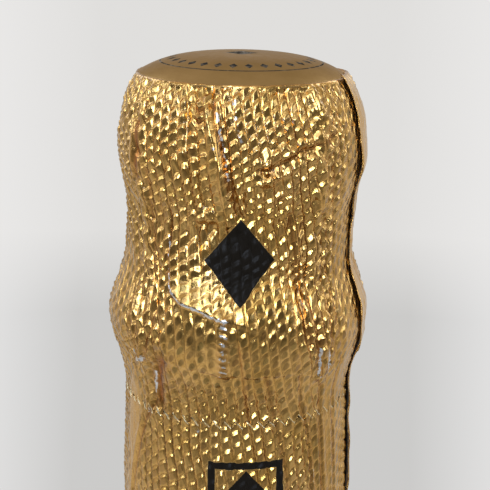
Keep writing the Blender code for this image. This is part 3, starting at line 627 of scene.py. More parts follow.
def foil_outline(height):
    """The foil's outer radius at heights, between its folds."""
    share = np.clip((RIM - height) / (RIM - HEAD_WIDEST), 0, 1)
    crown = DISC_RADIUS + (HEAD_RADIUS - DISC_RADIUS) * (1 - (1 - share) ** 2) ** RIM_FULLNESS
    narrowing = ease(HEAD_RADIUS, WAIST_RADIUS, (HEAD_WIDEST - height) / (HEAD_WIDEST - WAIST_TOP))
    widening = ease(WAIST_RADIUS, BULGE_RADIUS, (WAIST_BOTTOM - height) / (WAIST_BOTTOM - BULGE_MIDDLE))
    tucking = ease(BULGE_RADIUS, TUCK_RADIUS, (BULGE_MIDDLE - height) / (BULGE_MIDDLE - TUCK_HEIGHT))
    flaring = ease(TUCK_RADIUS, TUCK_RADIUS + SLEEVE_FLARE, (TUCK_HEIGHT - height) / SLEEVE_FLARE_LENGTH)
    below = np.maximum(flaring, glass_radius(height) + GLASS_CLEARANCE)
    zones = [height >= HEAD_WIDEST, height >= WAIST_BOTTOM, height >= BULGE_MIDDLE, height >= TUCK_HEIGHT]
    return np.select(zones, [crown, narrowing, widening, tucking], below)


def foil_path():
    """The foil's outline as lengths along it, radii, heights and outward directions."""
    heights = np.arange(RIM, SLEEVE_FOOT, -PROFILE_STEP)
    top = np.linspace(DISC_RADIUS - 2 * ROLLED_EDGE, DISC_RADIUS, 12)[:-1]
    radius = np.concatenate([top, foil_outline(heights)])
    height = np.concatenate([np.full(top.shape, RIM), heights])
    along = np.concatenate([[0], np.cumsum(np.hypot(np.diff(radius), np.diff(height)))])
    even = np.arange(0, along[-1], PROFILE_STEP)
    radius, height = np.interp(even, along, radius), np.interp(even, along, height)
    soft = np.ones(13) / 13
    slope_r = np.convolve(np.pad(np.gradient(radius, PROFILE_STEP), 6, "edge"), soft, "valid")
    slope_h = np.convolve(np.pad(np.gradient(height, PROFILE_STEP), 6, "edge"), soft, "valid")
    size = np.hypot(slope_r, slope_h)
    return even, radius, height, -slope_h / size, slope_r / size


def cell_pattern(across, down):
    """How far each point stands up its cell's ridge, and its place, column and row in the lattice."""
    column = np.floor(across)
    aside = across - column
    row = down + GROOVE_RISE * aside - ROW_SHIFT * column - CELL_ARCH * (2 * aside - 1) ** 2
    along = row - np.floor(row)
    sides = ease(0, 1, aside / CELL_SIDE_SHARE) * ease(0, 1, (1 - aside) / CELL_SIDE_SHARE)
    fall = 1 - CELL_FALL_SHARE * (along - CELL_CREST_SHARE) / (1 - CELL_CREST_SHARE)
    crest = np.minimum(ease(0, 1, along / CELL_CREST_SHARE), fall)
    return sides * crest, aside - 0.5, along - 0.5, column, np.floor(row)


def chance_of(column, row, seed):
    """A number from -1 to 1 for each cell, the same each time."""
    mixed = np.sin(column * 12.9898 + row * 78.233 + seed * 37.719) * 43758.5453
    return 2 * (mixed - np.floor(mixed)) - 1


def flatness(azimuth, depth):
    """How far the embossing is rubbed away at a place."""
    left = np.ones(azimuth.shape)
    for turn, middle, half_turn, half_height, lost in FLAT_ZONES:
        aside = (azimuth - math.radians(turn) + PI) % FULL_TURN - PI
        away = np.hypot(aside / math.radians(half_turn), (depth - middle * MM) / (half_height * MM))
        left *= 1 - lost * ease(1, 0, (away - ZONE_FLAT) / ZONE_FADE)
    return 1 - left


def loose_folds():
    """Folds all round the foil, placed by a seeded draw, like those listed."""
    chance = np.random.default_rng(11)
    folds = []
    for _ in range(STREAK_COUNT):
        turn = chance.uniform(SEAM_LINE[0][0], SEAM_LINE[0][0] + 360)
        top = chance.uniform(1.5, 60)
        length = STREAK_LENGTH / MM * chance.uniform(0.4, 1.3)
        lean = chance.normal(3, 5)
        bend = chance.normal(0, 1.5)
        quiet = 0.5 if turn > 290 else 1
        depth = chance.uniform(-1, 1) * STREAK_DEPTH * quiet
        places = ((turn, top), (turn + lean / 2 + bend, top + length / 2), (turn + lean, top + length))
        # Valleys get painted crease shade by their depth, ridges none
        folds.append((STREAK_HALF_WIDTH * chance.uniform(0.7, 1.5), depth, max(depth, 0) * 3, places))
    return folds


def pressed_shapes(across, depth):
    """Relief where the cage's loop, tail, legs and belt press through the foil."""
    relief = np.zeros(across.shape)
    away, side = line_distance(across, depth, on_sheet(LOOP_EDGE))
    inside = side < 0
    tent = TENT_SHARE * np.maximum(0, 1 - away / TENT_REACH)
    outside = tent + (1 - TENT_SHARE) * ease(1, 0, away / LOOP_EDGE_WIDTH)
    plateau = np.where(inside, np.exp(-away / LOOP_FADE), outside)
    near = ease(1, 0, (across - LOOP_RIGHT) / LOOP_RIGHT_REACH)
    relief += LOOP_STEP * plateau * near * ease(0, 1, (depth - LOOP_TOP) / LOOP_GROWTH)
    beside = fall_off(across / FOIL_RADIUS - APRON_TURNS[0], APRON_TURNS[1])
    begin, full, end = APRON_DEPTHS
    apron = ease(0, 1, (depth - begin) / (full - begin)) * ease(1, 0, (depth - full) / (end - full))
    relief += APRON_RISE * beside * apron
    away, _ = line_distance(across, depth, on_sheet(TAIL_LINE))
    relief += TAIL_RISE * fall_off(away, TAIL_HALF_WIDTH)
    for turn, top, foot in LEG_FEET:
        for leg in (turn - 360, turn, turn + 360):
            away, _ = line_distance(across, depth, on_sheet(((leg, top + 3), (leg, foot))))
            relief += LEG_RISE * fall_off(away, LEG_HALF_WIDTH)
    fold = np.array(on_sheet(BELT_FOLD))
    front = (across - fold[0][0]) % (FULL_TURN * FOIL_RADIUS) + fold[0][0]
    line = np.interp(front, fold[:, 0], fold[:, 1])
    relief -= BELT_FOLD_STEP * ease(0, 1, (depth - line) / BELT_FOLD_WIDTH)
    relief += BELT_FOLD_STEP * ease(0, 1, (depth - line) / BELT_FOLD_RECOVERY)
    return relief


def tail_ripple(across, depth):
    """The slanting turns of the twisted tail: their crests, the painted shade between them, and their
    silver tops of wear and painted highlight.
    """
    away, _ = line_distance(across, depth, on_sheet(TAIL_LINE))
    wave = 0.5 + 0.5 * np.cos(FULL_TURN * (depth + across * TAIL_SLANT) / TAIL_RIPPLE_PITCH)
    near = fall_off(away, TAIL_HALF_WIDTH)
    return TAIL_RIPPLE * wave * near, TAIL_SHADE_BETWEEN * (1 - wave) * near, TAIL_WEAR_AND_SHEEN * wave ** 2 * near


def fold_shapes(across, depth):
    """Relief and painted crease shade of every sharp fold."""
    relief, crease_shade = np.zeros(across.shape), np.zeros(across.shape)
    width = FULL_TURN * FOIL_RADIUS
    for half_width, drop, darkness, places in (*FOLDS, *loose_folds()):
        line = np.array(on_sheet(places))
        for wrap in (-width, 0):
            moved = line + (wrap, 0)
            low, high = moved.min(axis=0) - FOLD_MARGIN, moved.max(axis=0) + FOLD_MARGIN
            if high[0] < across.min() or low[0] > across.max():
                continue
            within = (across > low[0]) & (across < high[0]) & (depth > low[1]) & (depth < high[1])
            away, side = line_distance(across[within], depth[within], moved)
            away = np.hypot(away, FOLD_SOFTNESS)
            reach = half_width * MM
            beside = away - SWELLING_PLACE * reach * (1 + SWELLING_LEAN * side)
            valley = np.exp(-away / reach) - SWELLING_SHARE * fall_off(beside, reach)
            relief[within] -= drop * MM * valley
            crease_darkening = np.minimum(darkness * np.exp(-away / (reach * SHADE_FADE_SHARE)), 1)
            crease_shade[within] = np.maximum(crease_shade[within], crease_darkening)
    return relief, crease_shade


def reach_cell(azimuth, height):
    """The cell of the wires' reach at a place."""
    column = (azimuth % FULL_TURN / FULL_TURN * REACH_GRID[0]).astype(int) % REACH_GRID[0]
    return column, np.clip((height - REACH_FOOT) / REACH_STEP, 0, REACH_GRID[1] - 1).astype(int)


def wire_reach():
    """How far the cage's wires stand out under the foil, by azimuth and height."""
    reach = np.zeros(REACH_GRID)
    for node in WIRE_NODES:
        mesh = frame["nodes"][node].data
        places = np.array([v.co for v in mesh.vertices])
        ends = places[np.array([edge.vertices[:] for edge in mesh.edges])]
        for share in np.linspace(0, 1, 9):
            x, y, height = (ends[:, 0] * (1 - share) + ends[:, 1] * share).T
            np.maximum.at(reach, reach_cell(np.arctan2(x, -y), height), np.hypot(x, y))
    for _ in range(REACH_SPREAD):
        reach = np.maximum.reduce([reach, *neighbours(reach)])
    return reach


def lowest_near(values):
    """The lowest value within one step of the lining's grid."""
    for axis in (0, 1):
        margins = [(LINING_STEP, LINING_STEP) if side == axis else (0, 0) for side in (0, 1)]
        padded = np.pad(values, margins, mode="edge")
        windows = np.lib.stride_tricks.sliding_window_view(padded, 2 * LINING_STEP + 1, axis=axis)
        values = windows.min(axis=-1)
    return values


def neighbours(grid):
    """A grid moved by one cell to each of its four sides."""
    return [np.roll(grid, step, axis) for axis in (1, 0) for step in (1, -1)]


def soft_spread(amount):
    """The same lift, spread softly to the grid's neighbours."""
    for _ in range(LIFT_SPREAD):
        amount = np.maximum(amount, sum(neighbours(amount)) / 4)
    return amount


def clear_of_wires(azimuth, height, radius):
    """How much further out the foil has to stand to keep off the wires."""
    reach = np.where(height > REACH_FOOT, WIRE_REACH[reach_cell(azimuth, height)], 0)
    return np.maximum(0, reach + WIRE_CLEARANCE - radius)


def seam_turn(depth):
    """The azimuth of the seam's free edge at a depth."""
    turns, depths = np.transpose(SEAM_LINE)
    return np.radians(np.interp(depth / MM, depths, turns))


def foil_piece(name, node, grid, path_start, path_end, shift):
    """A wrapped sheet of foil: embossed, folded and pressed in outside, plain inside."""
    columns, rows = grid
    share = np.interp(np.linspace(0, 1, columns), *zip(*COLUMN_PLACES))[None, :]
    fall = np.linspace(0, 1, rows)[:, None]
    wrap = FULL_TURN + SEAM_OVERLAP / FOIL_RADIUS
    turn_guess = seam_turn(RIM - TEAR_LINE) + share * wrap
    start, end = path_start(turn_guess), path_end(turn_guess)
    path = start + (end - start) * fall
    length, radius, height, out_r, out_h = FOIL_PATH
    base_r, base_h = np.interp(path, length, radius), np.interp(path, length, height)
    away_r, away_h = np.interp(path, length, out_r), np.interp(path, length, out_h)
    depth = RIM - base_h

    from_edge = share * wrap * FOIL_RADIUS
    from_end = (1 - share) * wrap * FOIL_RADIUS
    tooth = np.abs((path / SEAM_PITCH) % 1 - 0.5) + 0.5 * noise(path / SEAM_TOOTH_WAVE, path * 0, 5)
    tooth = tooth * SEAM_TOOTH / FOIL_RADIUS * np.exp(-from_edge / SEAM_TOOTH)
    azimuth = seam_turn(depth) + share * wrap + tooth
    across = azimuth * FOIL_RADIUS

    front = (across + PI * FOIL_RADIUS) % (FULL_TURN * FOIL_RADIUS) - PI * FOIL_RADIUS
    margin = ease(0, 1, (from_edge - SEAM_MARGIN) / MM)
    under = ease(0, 1, from_end / SEAM_OVERLAP - 1)
    rolled = ease(0, 1, (path - 2 * ROLLED_EDGE) / ROLLED_REACH)
    strip = STRIP_HEIGHT * (1 + noise(across / STRIP_WAVE_SIZE, across * 0, 23))
    # Painted crease shade of the folds, of the rim line and between the tail's turns
    folds, crease_shade = fold_shapes(front, depth)
    crease_shade = np.maximum(crease_shade, RIM_SHADOW_DARKNESS * fall_off(path - ROLLED_EDGE, RIM_SHADOW))
    ripple, between, bare = tail_ripple(front, depth)
    crease_shade = np.maximum(crease_shade, between)
    flat = flatness(azimuth, depth)
    stamp = (1 - flat) * ease_in(SEAM_STAMP, margin) * (1 - BROWN_FLATTENING * crease_shade)
    stamp *= ease(0, 1, (path - 2 * ROLLED_EDGE - strip) / STAMP_REACH)

    liveliness = LIVELY_LEAST + LIVELY_GAIN * ease(1, 0, (depth - LIVELY_FOOT) / LIVELY_FADE)
    swerve = [noise(across / WARP_SIZE, path / WARP_SIZE, seed) for seed in (31, 32)]
    turn = azimuth - FULL_TURN
    spare = np.interp(depth / MM, *zip(*COLUMNS_AT)) - CELL_COLUMNS
    lattice_x = (azimuth * CELL_COLUMNS + turn * np.exp(-((turn / FRONT_TURN) ** 4)) * spare) / FULL_TURN
    lattice_x += CELL_WARP * swerve[0] * margin * (1 + flat) - path * CELL_LEAN / CELL_WIDTH
    lattice_y = np.interp(path / MM, *zip(*ROWS_AT)) + ROW_WARP * swerve[1] * margin * liveliness
    dome, aside, along, column, row = cell_pattern(lattice_x, lattice_y)
    tilt = chance_of(column, row, 1) * aside + chance_of(column, row, 2) * along
    tilt *= CELL_TILT * (TILT_LEAST + TILT_GAIN * liveliness)
    cells = stamp * (CELL_DEPTH * (dome - 1) + tilt * dome)
    cells *= 1 - (1 - SLEEVE_CELLS) * ease(0, 1, (depth - SLEEVE_CELLS_START) / SLEEVE_CELLS_REACH)

    crumple = -FACET_DEPTH * facets(across, path, FACET_SPACING, FACET_TILT, 3)
    crinkle = noise(across / CRINKLE_SIZE[0], path / CRINKLE_SIZE[1], 7)
    crumple += CRINKLE_SHARE * FACET_DEPTH * crinkle * margin
    dents = noise(across / DENT_SIZE[0], path / DENT_SIZE[1], 8)
    dents = DENT_DEPTH * dents * ease_in(DENT_LEAST, liveliness)
    pressed = pressed_shapes(front, depth)
    uneven = SEAM_MEAN + SEAM_VARIATION * noise(path / SEAM_UNEVEN_SIZE, path * 0, 9)
    lift = SEAM_LIFT * uneven * ease(1, 0, (from_edge - SEAM_OVERLAP) / SEAM_LIFT_REACH)
    flare = SEAM_FLARE * uneven * fall_off(from_edge, SEAM_FLARE_REACH)

    broad = (folds + pressed) * rolled * ease_in(UNDER_FOLDS, under) + dents * rolled * under * margin
    broad = broad - FOIL_SINK + shift(path, start, end, azimuth) + lift + flare
    fine = cells + crumple * liveliness * rolled * ease_in(UNDER_CRUMPLE, under)
    short = clear_of_wires(azimuth, base_h + away_h * (broad + fine), base_r + away_r * (broad + fine))
    broad = broad + soft_spread(short) + ripple
    outer = around(base_r + away_r * (broad + fine), azimuth, base_h + away_h * (broad + fine))
    thickness = FOIL_THICKNESS * ease(SEAM_THINNING, 1, from_edge / MM)
    inside = lowest_near(broad + np.minimum(fine, 0)) - thickness
    lining = around(base_r + away_r * inside, azimuth, base_h + away_h * inside)
    lining = lining[::LINING_STEP, ::LINING_STEP]

    # Silver of wear, of painted sheen and of painted highlight
    wear_and_sheen = bare
    for half_width, strength, places in WEAR_AND_SHEEN_LINES:
        away, _ = line_distance(front, depth, on_sheet(places))
        wear_and_sheen = np.maximum(wear_and_sheen, strength * fall_off(away, half_width * MM))

    piece = closed_sheet(name, outer, lining, LINING_STEP, FOIL_FINISH, LINING_FINISH)
    point_places(piece.data, "cells", lattice_x, lattice_y)
    for value, values in zip(FOIL_VALUES, (stamp, crease_shade, wear_and_sheen)):
        point_values(piece.data, value, values)
    dress(piece, node)


def torn_line(azimuth):
    """The path length of the slanting slits along the tear line."""
    share = (azimuth / FULL_TURN * SLIT_COUNT) % 1
    return TEAR_PATH + SLIT_FALL * (np.minimum(share / SLIT_SHARE, (1 - share) / (1 - SLIT_SHARE)) - 0.5)


def slit_open(azimuth):
    """How far each slit stands open: most in its middle, and none between slits."""
    share = (azimuth / FULL_TURN * SLIT_COUNT) % 1
    return np.maximum(0, np.sin(PI * share / SLIT_SHARE)) * (share < SLIT_SHARE)


def skirt_shift(path, start, end, azimuth):
    """The slits' upper lips are pressed in, and the top edge lies on the disc."""
    lip = 0.4 * SLIT_LIP * slit_open(azimuth) * np.exp(-(end - path) / SLIT_LIP_REACH)
    return -lip - RIM_HUG * np.exp(-(path - start) / ROLLED_REACH)


def sleeve_shift(path, start, end, azimuth):
    """The slits' lower lips stand a little proud."""
    return SLIT_LIP * slit_open(azimuth) * np.exp(-(path - start) / SLIT_LIP_REACH)


def rolled_start(azimuth):
    """The uneven inner edge of the foil rolled over the disc."""
    wave = noise(azimuth * FOIL_RADIUS / ROLLED_WAVE_SIZE, azimuth * 0, 21)
    return ROLLED_EDGE + ROLLED_WAVE * (0.5 + wave)


# Finishes


def sign(operation, swapped=False):
    """The method of an arithmetic sign between terms."""
    def method(term, other):
        values = (other, term) if swapped else (term, other)
        return term.graph.math(operation, *values)
    return method


class Term:
    """A node's output, which takes part in sums like a number."""

    __add__ = __radd__ = sign("ADD")
    __mul__ = __rmul__ = sign("MULTIPLY")
    __sub__, __rsub__ = sign("SUBTRACT"), sign("SUBTRACT", swapped=True)
    __truediv__, __pow__, __lt__ = sign("DIVIDE"), sign("POWER"), sign("LESS_THAN")

    def __init__(self, graph, socket):
        self.graph, self.socket = graph, socket

    def __abs__(self):
        return self.graph.math("ABSOLUTE", self)

    def off(self, middle):
        """How far it is from a middle value."""
        return abs(self - middle)


class Graph:
    """Adds nodes to a tree and joins them."""

    def __init__(self, tree):
        self.tree = tree

    def feed(self, socket, value):
        """Link a term into an input, or write a plain value there."""
        if isinstance(value, Term):
            self.tree.links.new(value.socket, socket)
        elif socket.type == "RGBA" and len(value) == 3:
            socket.default_value = (*value, 1)
        else:
            socket.default_value = value

    def node(self, kind, inputs=(), **settings):
        """A new node's outputs as terms, by number and by name."""
        node = self.tree.nodes.new("ShaderNode" + kind)
        for key, value in settings.items():
            setattr(node, key, value)
        for key, value in dict(inputs).items():
            self.feed(node.inputs[key], value)
        terms = [Term(self, socket) for socket in node.outputs]
        return dict(enumerate(terms)) | {term.socket.name: term for term in terms}

    def math(self, operation, *values):
        """The result of one sum."""
        return self.node("Math", enumerate(values), operation=operation)[0]

    def mix(self, share, first, second):
        """A colour between two others."""
        return self.node("Mix", {0: share, 6: first, 7: second}, data_type="RGBA")[2]

    def between(self, share, first, second):
        """A value between two others."""
        return self.node("Mix", {0: share, 2: first, 3: second}, data_type="FLOAT")[0]

    def span(self, value, low, high, start=0.0, end=1.0):
        """A value's place between low and high, as a value from start to end."""
        return self.node("MapRange", {0: value, 1: low, 2: high, 3: start, 4: end})[0]

    def rise(self, value, width):
        """A soft step from 0 to 1 within a width."""
        return self.node("MapRange", {0: value, 1: 0.0, 2: width}, interpolation_type="SMOOTHSTEP")[0]

    def noise(self, place, scale, detail=2.0, roughness=0.5):
        """Soft noise around one half."""
        inputs = {"Vector": place, "Scale": scale, "Detail": detail, "Roughness": roughness}
        return self.node("TexNoise", inputs)["Fac"]

    def chance(self, *numbers):
        """A value from 0 to 1 for each set of whole numbers."""
        place = self.node("CombineXYZ", enumerate(numbers))[0]
        return self.node("TexWhiteNoise", {"Vector": place})["Value"]

    def place(self):
        """The place on the object, in metres."""
        return self.node("TexCoord")["Object"]

    def parts(self, vector):
        """A vector's three parts."""
        parts = self.node("SeparateXYZ", {0: vector})
        return parts[0], parts[1], parts[2]

    def polar(self, facing=1.0):
        """Azimuth, radius and height of a place. The azimuth is zero at the front, or at the back."""
        right, back, height = self.parts(self.place())
        return self.math("ARCTAN2", right * facing, back * -facing), (right**2.0 + back**2.0) ** 0.5, height

    def lozenge(self, aside, half_width, along, half_height):
        """One inside a lozenge and zero outside."""
        return self.span(aside / half_width + along / half_height, 1.0, 0.98)

    def line(self, distance, half_width):
        """One on a thin line and zero off it."""
        return self.span(distance, half_width, half_width * 0.8)

    def either(self, *masks):
        """One where any mask is."""
        result = masks[0]
        for mask in masks[1:]:
            result = self.math("MAXIMUM", result, mask)
        return result


def new_group(name, inputs, *outputs):
    """A shader node group with its sockets, the graph that fills it, its input terms and its outputs."""
    tree = bpy.data.node_groups.new(name, "ShaderNodeTree")
    for socket, kind in inputs.items():
        tree.interface.new_socket(socket, in_out="INPUT", socket_type="NodeSocket" + kind)
    for socket in outputs:
        tree.interface.new_socket(socket, in_out="OUTPUT", socket_type="NodeSocketFloat")
    graph = Graph(tree)
    source = tree.nodes.new("NodeGroupInput").outputs
    terms = [Term(graph, source[socket]) for socket in inputs]
    return tree, graph, terms, tree.nodes.new("NodeGroupOutput").inputs


def wear_group():
    """Cloudy variation in two scales, for tarnish, handling marks and uneven colour."""
    sockets = {"Place": "Vector", "Scale": "Float"}
    tree, graph, (place, scale), result = new_group("handling_marks", sockets, "Clouds", "Specks")
    graph.feed(result["Clouds"], graph.span(graph.noise(place, scale, 4.0, 0.6), 0.3, 0.7))
    graph.feed(result["Specks"], graph.span(graph.noise(place, scale * 9.0, 3.0, 0.7), 0.35, 0.65))
    return tree


CELL_MARKS = ("Ridge", "PaintedShade", "Groove", "Chance")


def cell_group():
    """The embossed cells: each one's ridge, the painted shade on its lower slope, the grooves between them
    and a chance.
    """
    tree, graph, (cells,), result = new_group("embossed_cells", {"Cells": "Vector"}, *CELL_MARKS)
    across, down, _ = graph.parts(cells)
    column, aside = graph.math("FLOOR", across), graph.math("FRACT", across)
    row = down + aside * GROOVE_RISE - column * ROW_SHIFT - aside.off(0.5) ** 2.0 * (4 * CELL_ARCH)
    along = graph.math("FRACT", row)
    sides = graph.rise(aside, CELL_SIDE_SHARE) * graph.rise(1.0 - aside, CELL_SIDE_SHARE)
    fall = graph.span(along, CELL_CREST_SHARE, 1.0, 1.0, 1 - CELL_FALL_SHARE)
    graph.feed(result["Ridge"], sides * graph.math("MINIMUM", graph.rise(along, CELL_CREST_SHARE), fall))
    # An oval of painted shade on the cell's lower slope
    oval = (aside.off(0.5) / OVAL_HALF_WIDTH) ** 2.0 + (along.off(OVAL_MIDDLE) / OVAL_HALF_LENGTH) ** 2.0
    graph.feed(result["PaintedShade"], graph.span(oval, 1.0, OVAL_FULL))
    chance = graph.chance(graph.math("ROUND", across))
    strength = graph.span(chance, *GROOVE_CHANCES, *GROOVE_STRENGTHS)
    near_column = graph.span(aside.off(0.5), *COLUMN_GROOVE) * strength
    near_row = graph.span(along.off(0.5), *ROW_GROOVE, 0.0, ROW_GROOVE_SHARE)
    graph.feed(result["Groove"], graph.either(near_column, near_row))
    graph.feed(result["Chance"], graph.chance(column, graph.math("FLOOR", row)))
    return tree


WEAR_GROUP = wear_group()
CELL_GROUP = cell_group()


class Finish(Graph):
    """A material with handling marks at a scale: soft clouds and fine specks."""

    def __init__(self, name, scale):
        self.material = bpy.data.materials.new(name)
        self.material.use_nodes = True
        super().__init__(self.material.node_tree)
        marks = self.node("Group", {"Place": self.place(), "Scale": scale}, node_tree=WEAR_GROUP)
        self.clouds, self.specks = marks["Clouds"], marks["Specks"]

    def clouded(self, dark, light):
        """A colour that drifts between two."""
        return self.mix(self.clouds, dark, light)

    def speckled(self, low, high):
        """A value that changes finely between two."""
        return self.span(self.specks, 0.0, 1.0, low, high)

    def made(self, relief=None, **values):
        """The material, with its shader's inputs set and a relief in metres."""
        shader = self.tree.nodes["Principled BSDF"].inputs
        for name, value in values.items():
            self.feed(shader[name.replace("_", " ")], value)
        if relief is not None:
            bump = self.node("Bump", {"Height": relief, "Distance": 1.0, "Strength": 1.0})
            self.feed(shader["Normal"], bump["Normal"])
        return self.material


# Colours between which a finish drifts
ALUMINIUM = ((0.66, 0.66, 0.66), (0.8, 0.8, 0.79))
GLASS_GREENS = ((0.1, 0.2, 0.07), (0.13, 0.26, 0.09))
WINE_GOLDS = ((0.9, 0.8, 0.45), (0.93, 0.85, 0.52))
PLAQUE_GOLDS = ((0.5, 0.32, 0.1), (0.6, 0.4, 0.14))
ZINC = ((0.53, 0.5, 0.44), (0.75, 0.7, 0.61))

# Foil colours
GOLD_LIGHT = (0.77, 0.465, 0.15)
GOLD_DEEP = (0.62, 0.35, 0.082)
# Painted shade on the cells' lower slopes, in the grooves and in the folds
SLOPE_SHADE_OLIVE = (0.33, 0.215, 0.06)
SLOPE_SHADE_BROWN = (0.34, 0.19, 0.055)
GROOVE_SHADE_BROWN = (0.34, 0.13, 0.018)
FOLD_SHADE_BROWN = (0.3, 0.085, 0.008)
# A painted highlight on the slit lips
SLIT_HIGHLIGHT_GOLD = (0.97, 0.86, 0.56)
SILVER = (0.78, 0.78, 0.77)
INK = (0.008, 0.006, 0.004)

# Stamps where the foil counts as rubbed and as embossed, first not at all and then fully
RUBBED_STAMPS = (0.75, 0.3)
EMBOSSED_STAMPS = (0.03, 0.2)
# Least and most painted shade on the cells' lower slopes, and the grooves' painted shade on the sleeve and
# on the skirt
SLOPE_SHADE_STRENGTHS = (0.4, 0.85)
GROOVE_SHADE_SHARES = (0.3, 0.7)
GROOVE_CHANGE = (TEAR_LINE - 2 * MM, TEAR_LINE + 8 * MM)
# How much of the folds' painted shade colour shows, and of the slit lips' painted highlight
CREASE_SHADE_MIX = 0.9
SLIT_HIGHLIGHT_SHARE = 0.9
# Wear, painted sheen and a share of the specks together bare the silver within a range
SPECK_SHARE = 0.8
SILVER_RANGE = (0.95, 1.25)
GOLD_ROUGHNESS = (0.16, 0.26)
WORN_ROUGHNESS = 0.34
INK_ROUGHNESS = 0.42
COAT_SHARE = 0.25
COAT_ROUGHNESS = 0.12
PLAIN_SHINE = 0.5
INK_SHINE = 0.08

# Relief of the foil that is finer than its mesh
RIDGE_RISE = 0.08 * MM
CRINKLE_RISES = (0.06 * MM, 0.03 * MM)
GROOVE_RISES = (-0.02 * MM, -0.06 * MM)

# Printed ornaments on the foil's front
ORNAMENT_TURN = math.radians(1.2)
LOZENGE_HEIGHT = RIM - 24 * MM
LOZENGE_HALF_WIDTH = 5.3 * MM
LOZENGE_HALF_HEIGHT = 6 * MM
PANEL_TOP = RIM - 54.4 * MM
PANEL_FOOT = RIM - 90 * MM
PANEL_TURN = math.radians(5.5)
PANEL_HALF_WIDTH = 5.9 * MM
PANEL_BORDER = 1.3 * MM
CHAIN_LINKS = 5
CHAIN_PITCH = (PANEL_TOP - PANEL_FOOT - 2 * PANEL_BORDER) / CHAIN_LINKS
CHAIN_HALF_WIDTH = 2.9 * MM
CHAIN_HALF_HEIGHT = 3.2 * MM
PRINT_RAGGEDNESS = 0.25 * MM


def foil_ink(graph):
    """The black lozenge over the collar, and the framed chain of lozenges down the neck."""
    azimuth, _, height = graph.polar()
    height = (graph.noise(graph.place(), 1500.0) - 0.5) * PRINT_RAGGEDNESS + height
    aside = azimuth.off(ORNAMENT_TURN) * FOIL_RADIUS
    mark = graph.lozenge(aside, LOZENGE_HALF_WIDTH, height.off(LOZENGE_HEIGHT), LOZENGE_HALF_HEIGHT)
    aside = azimuth.off(PANEL_TURN) * FOIL_RADIUS
    beyond_end = height.off((PANEL_TOP + PANEL_FOOT) / 2) - (PANEL_TOP - PANEL_FOOT) / 2
    beyond = graph.either(aside - PANEL_HALF_WIDTH, beyond_end)
    frame_line = graph.line(beyond.off(-PANEL_BORDER / 2), PANEL_BORDER / 2)
    link = graph.math("FRACT", (height - (PANEL_FOOT + PANEL_BORDER)) / CHAIN_PITCH)
    chain = graph.lozenge(aside, CHAIN_HALF_WIDTH, link.off(0.5) * CHAIN_PITCH, CHAIN_HALF_HEIGHT)
    return graph.either(mark, frame_line, chain * (beyond < -PANEL_BORDER))


def slit_marks(graph):
    """The raised lips of the slanting slits along the tear line, for their bump and their painted
    highlight.
    """
    azimuth, _, height = graph.polar()
    share = graph.math("FRACT", azimuth * (SLIT_COUNT / FULL_TURN))
    line = graph.span(share, 0.0, SLIT_SHARE, SLIT_FALL / 2, -SLIT_FALL / 2)
    away = (height - TEAR_LINE).off(line)
    return (share < SLIT_SHARE) * graph.span(away, SLIT_RIDGE_HALF_WIDTH, 0.0)


def embossed_foil():
    """Gold lacquered foil with embossed cells, painted shade on the cells' lower slopes, in the grooves and
    in the folds, silver wear with painted sheen, painted highlights on the slit lips, and black ornaments.
    """
    foil = Finish("embossed_gold_foil", 160.0)
    cell = foil.node("Group", {"Cells": foil.node("UVMap", uv_map="cells")["UV"]}, node_tree=CELL_GROUP)
    ridge, body, groove, chance = (cell[name] for name in CELL_MARKS)
    stamp, crease_shade, wear_and_sheen = (foil.node("Attribute", attribute_name=name)["Fac"] for name in FOIL_VALUES)

    rubbed = foil.span(stamp, *RUBBED_STAMPS)
    strength = foil.between(rubbed, foil.span(chance, 0.0, 1.0, *SLOPE_SHADE_STRENGTHS), 1.0)
    # Painted shade on each cell's lower slope, none where no embossing is left
    slope = body * foil.span(stamp, *EMBOSSED_STAMPS) * strength
    colour = foil.mix(slope, foil.clouded(GOLD_DEEP, GOLD_LIGHT), foil.mix(chance, SLOPE_SHADE_OLIVE, SLOPE_SHADE_BROWN))
    # Painted shade in the grooves, weaker on the sleeve and where the foil is rubbed flat
    upper = foil.span(foil.polar()[2], *GROOVE_CHANGE, *GROOVE_SHADE_SHARES)
    colour = foil.mix(groove * upper * foil.between(rubbed, 1.0, 0.5), colour, GROOVE_SHADE_BROWN)
    # Painted shade in the folds, along the rim and between the tail's turns
    colour = foil.mix(crease_shade * CREASE_SHADE_MIX, colour, FOLD_SHADE_BROWN)
    # Painted highlight on the slit lips
    slits = slit_marks(foil)
    colour = foil.mix(slits * SLIT_HIGHLIGHT_SHARE, colour, SLIT_HIGHLIGHT_GOLD)
    # Silver of wear, and of painted sheen and highlight
    silvered = foil.span(foil.specks * SPECK_SHARE + wear_and_sheen, *SILVER_RANGE)
    colour = foil.mix(silvered, colour, SILVER)
    ink = foil_ink(foil) * (1.0 - silvered)
    rough = foil.between(foil.either(silvered, slits), foil.speckled(*GOLD_ROUGHNESS), WORN_ROUGHNESS)

    relief = ridge * stamp**0.5 * RIDGE_RISE + slits * SLIT_RIDGE
    relief += foil.noise(foil.place(), 1300.0, 3.0, 0.6) * foil.span(stamp, 0.0, 0.6, *CRINKLE_RISES)
    relief += groove * foil.span(stamp, 0.0, 1.0, *GROOVE_RISES)
    return foil.made(
        relief * foil.between(ink, 1.0, 0.5), Base_Color=foil.mix(ink, colour, INK), Metallic=1.0 - ink,
        Specular_IOR_Level=foil.between(ink, PLAIN_SHINE, INK_SHINE),
        Roughness=foil.between(ink, rough, INK_ROUGHNESS),
        Coat_Weight=foil.between(ink, COAT_SHARE, 0.0), Coat_Roughness=COAT_ROUGHNESS)


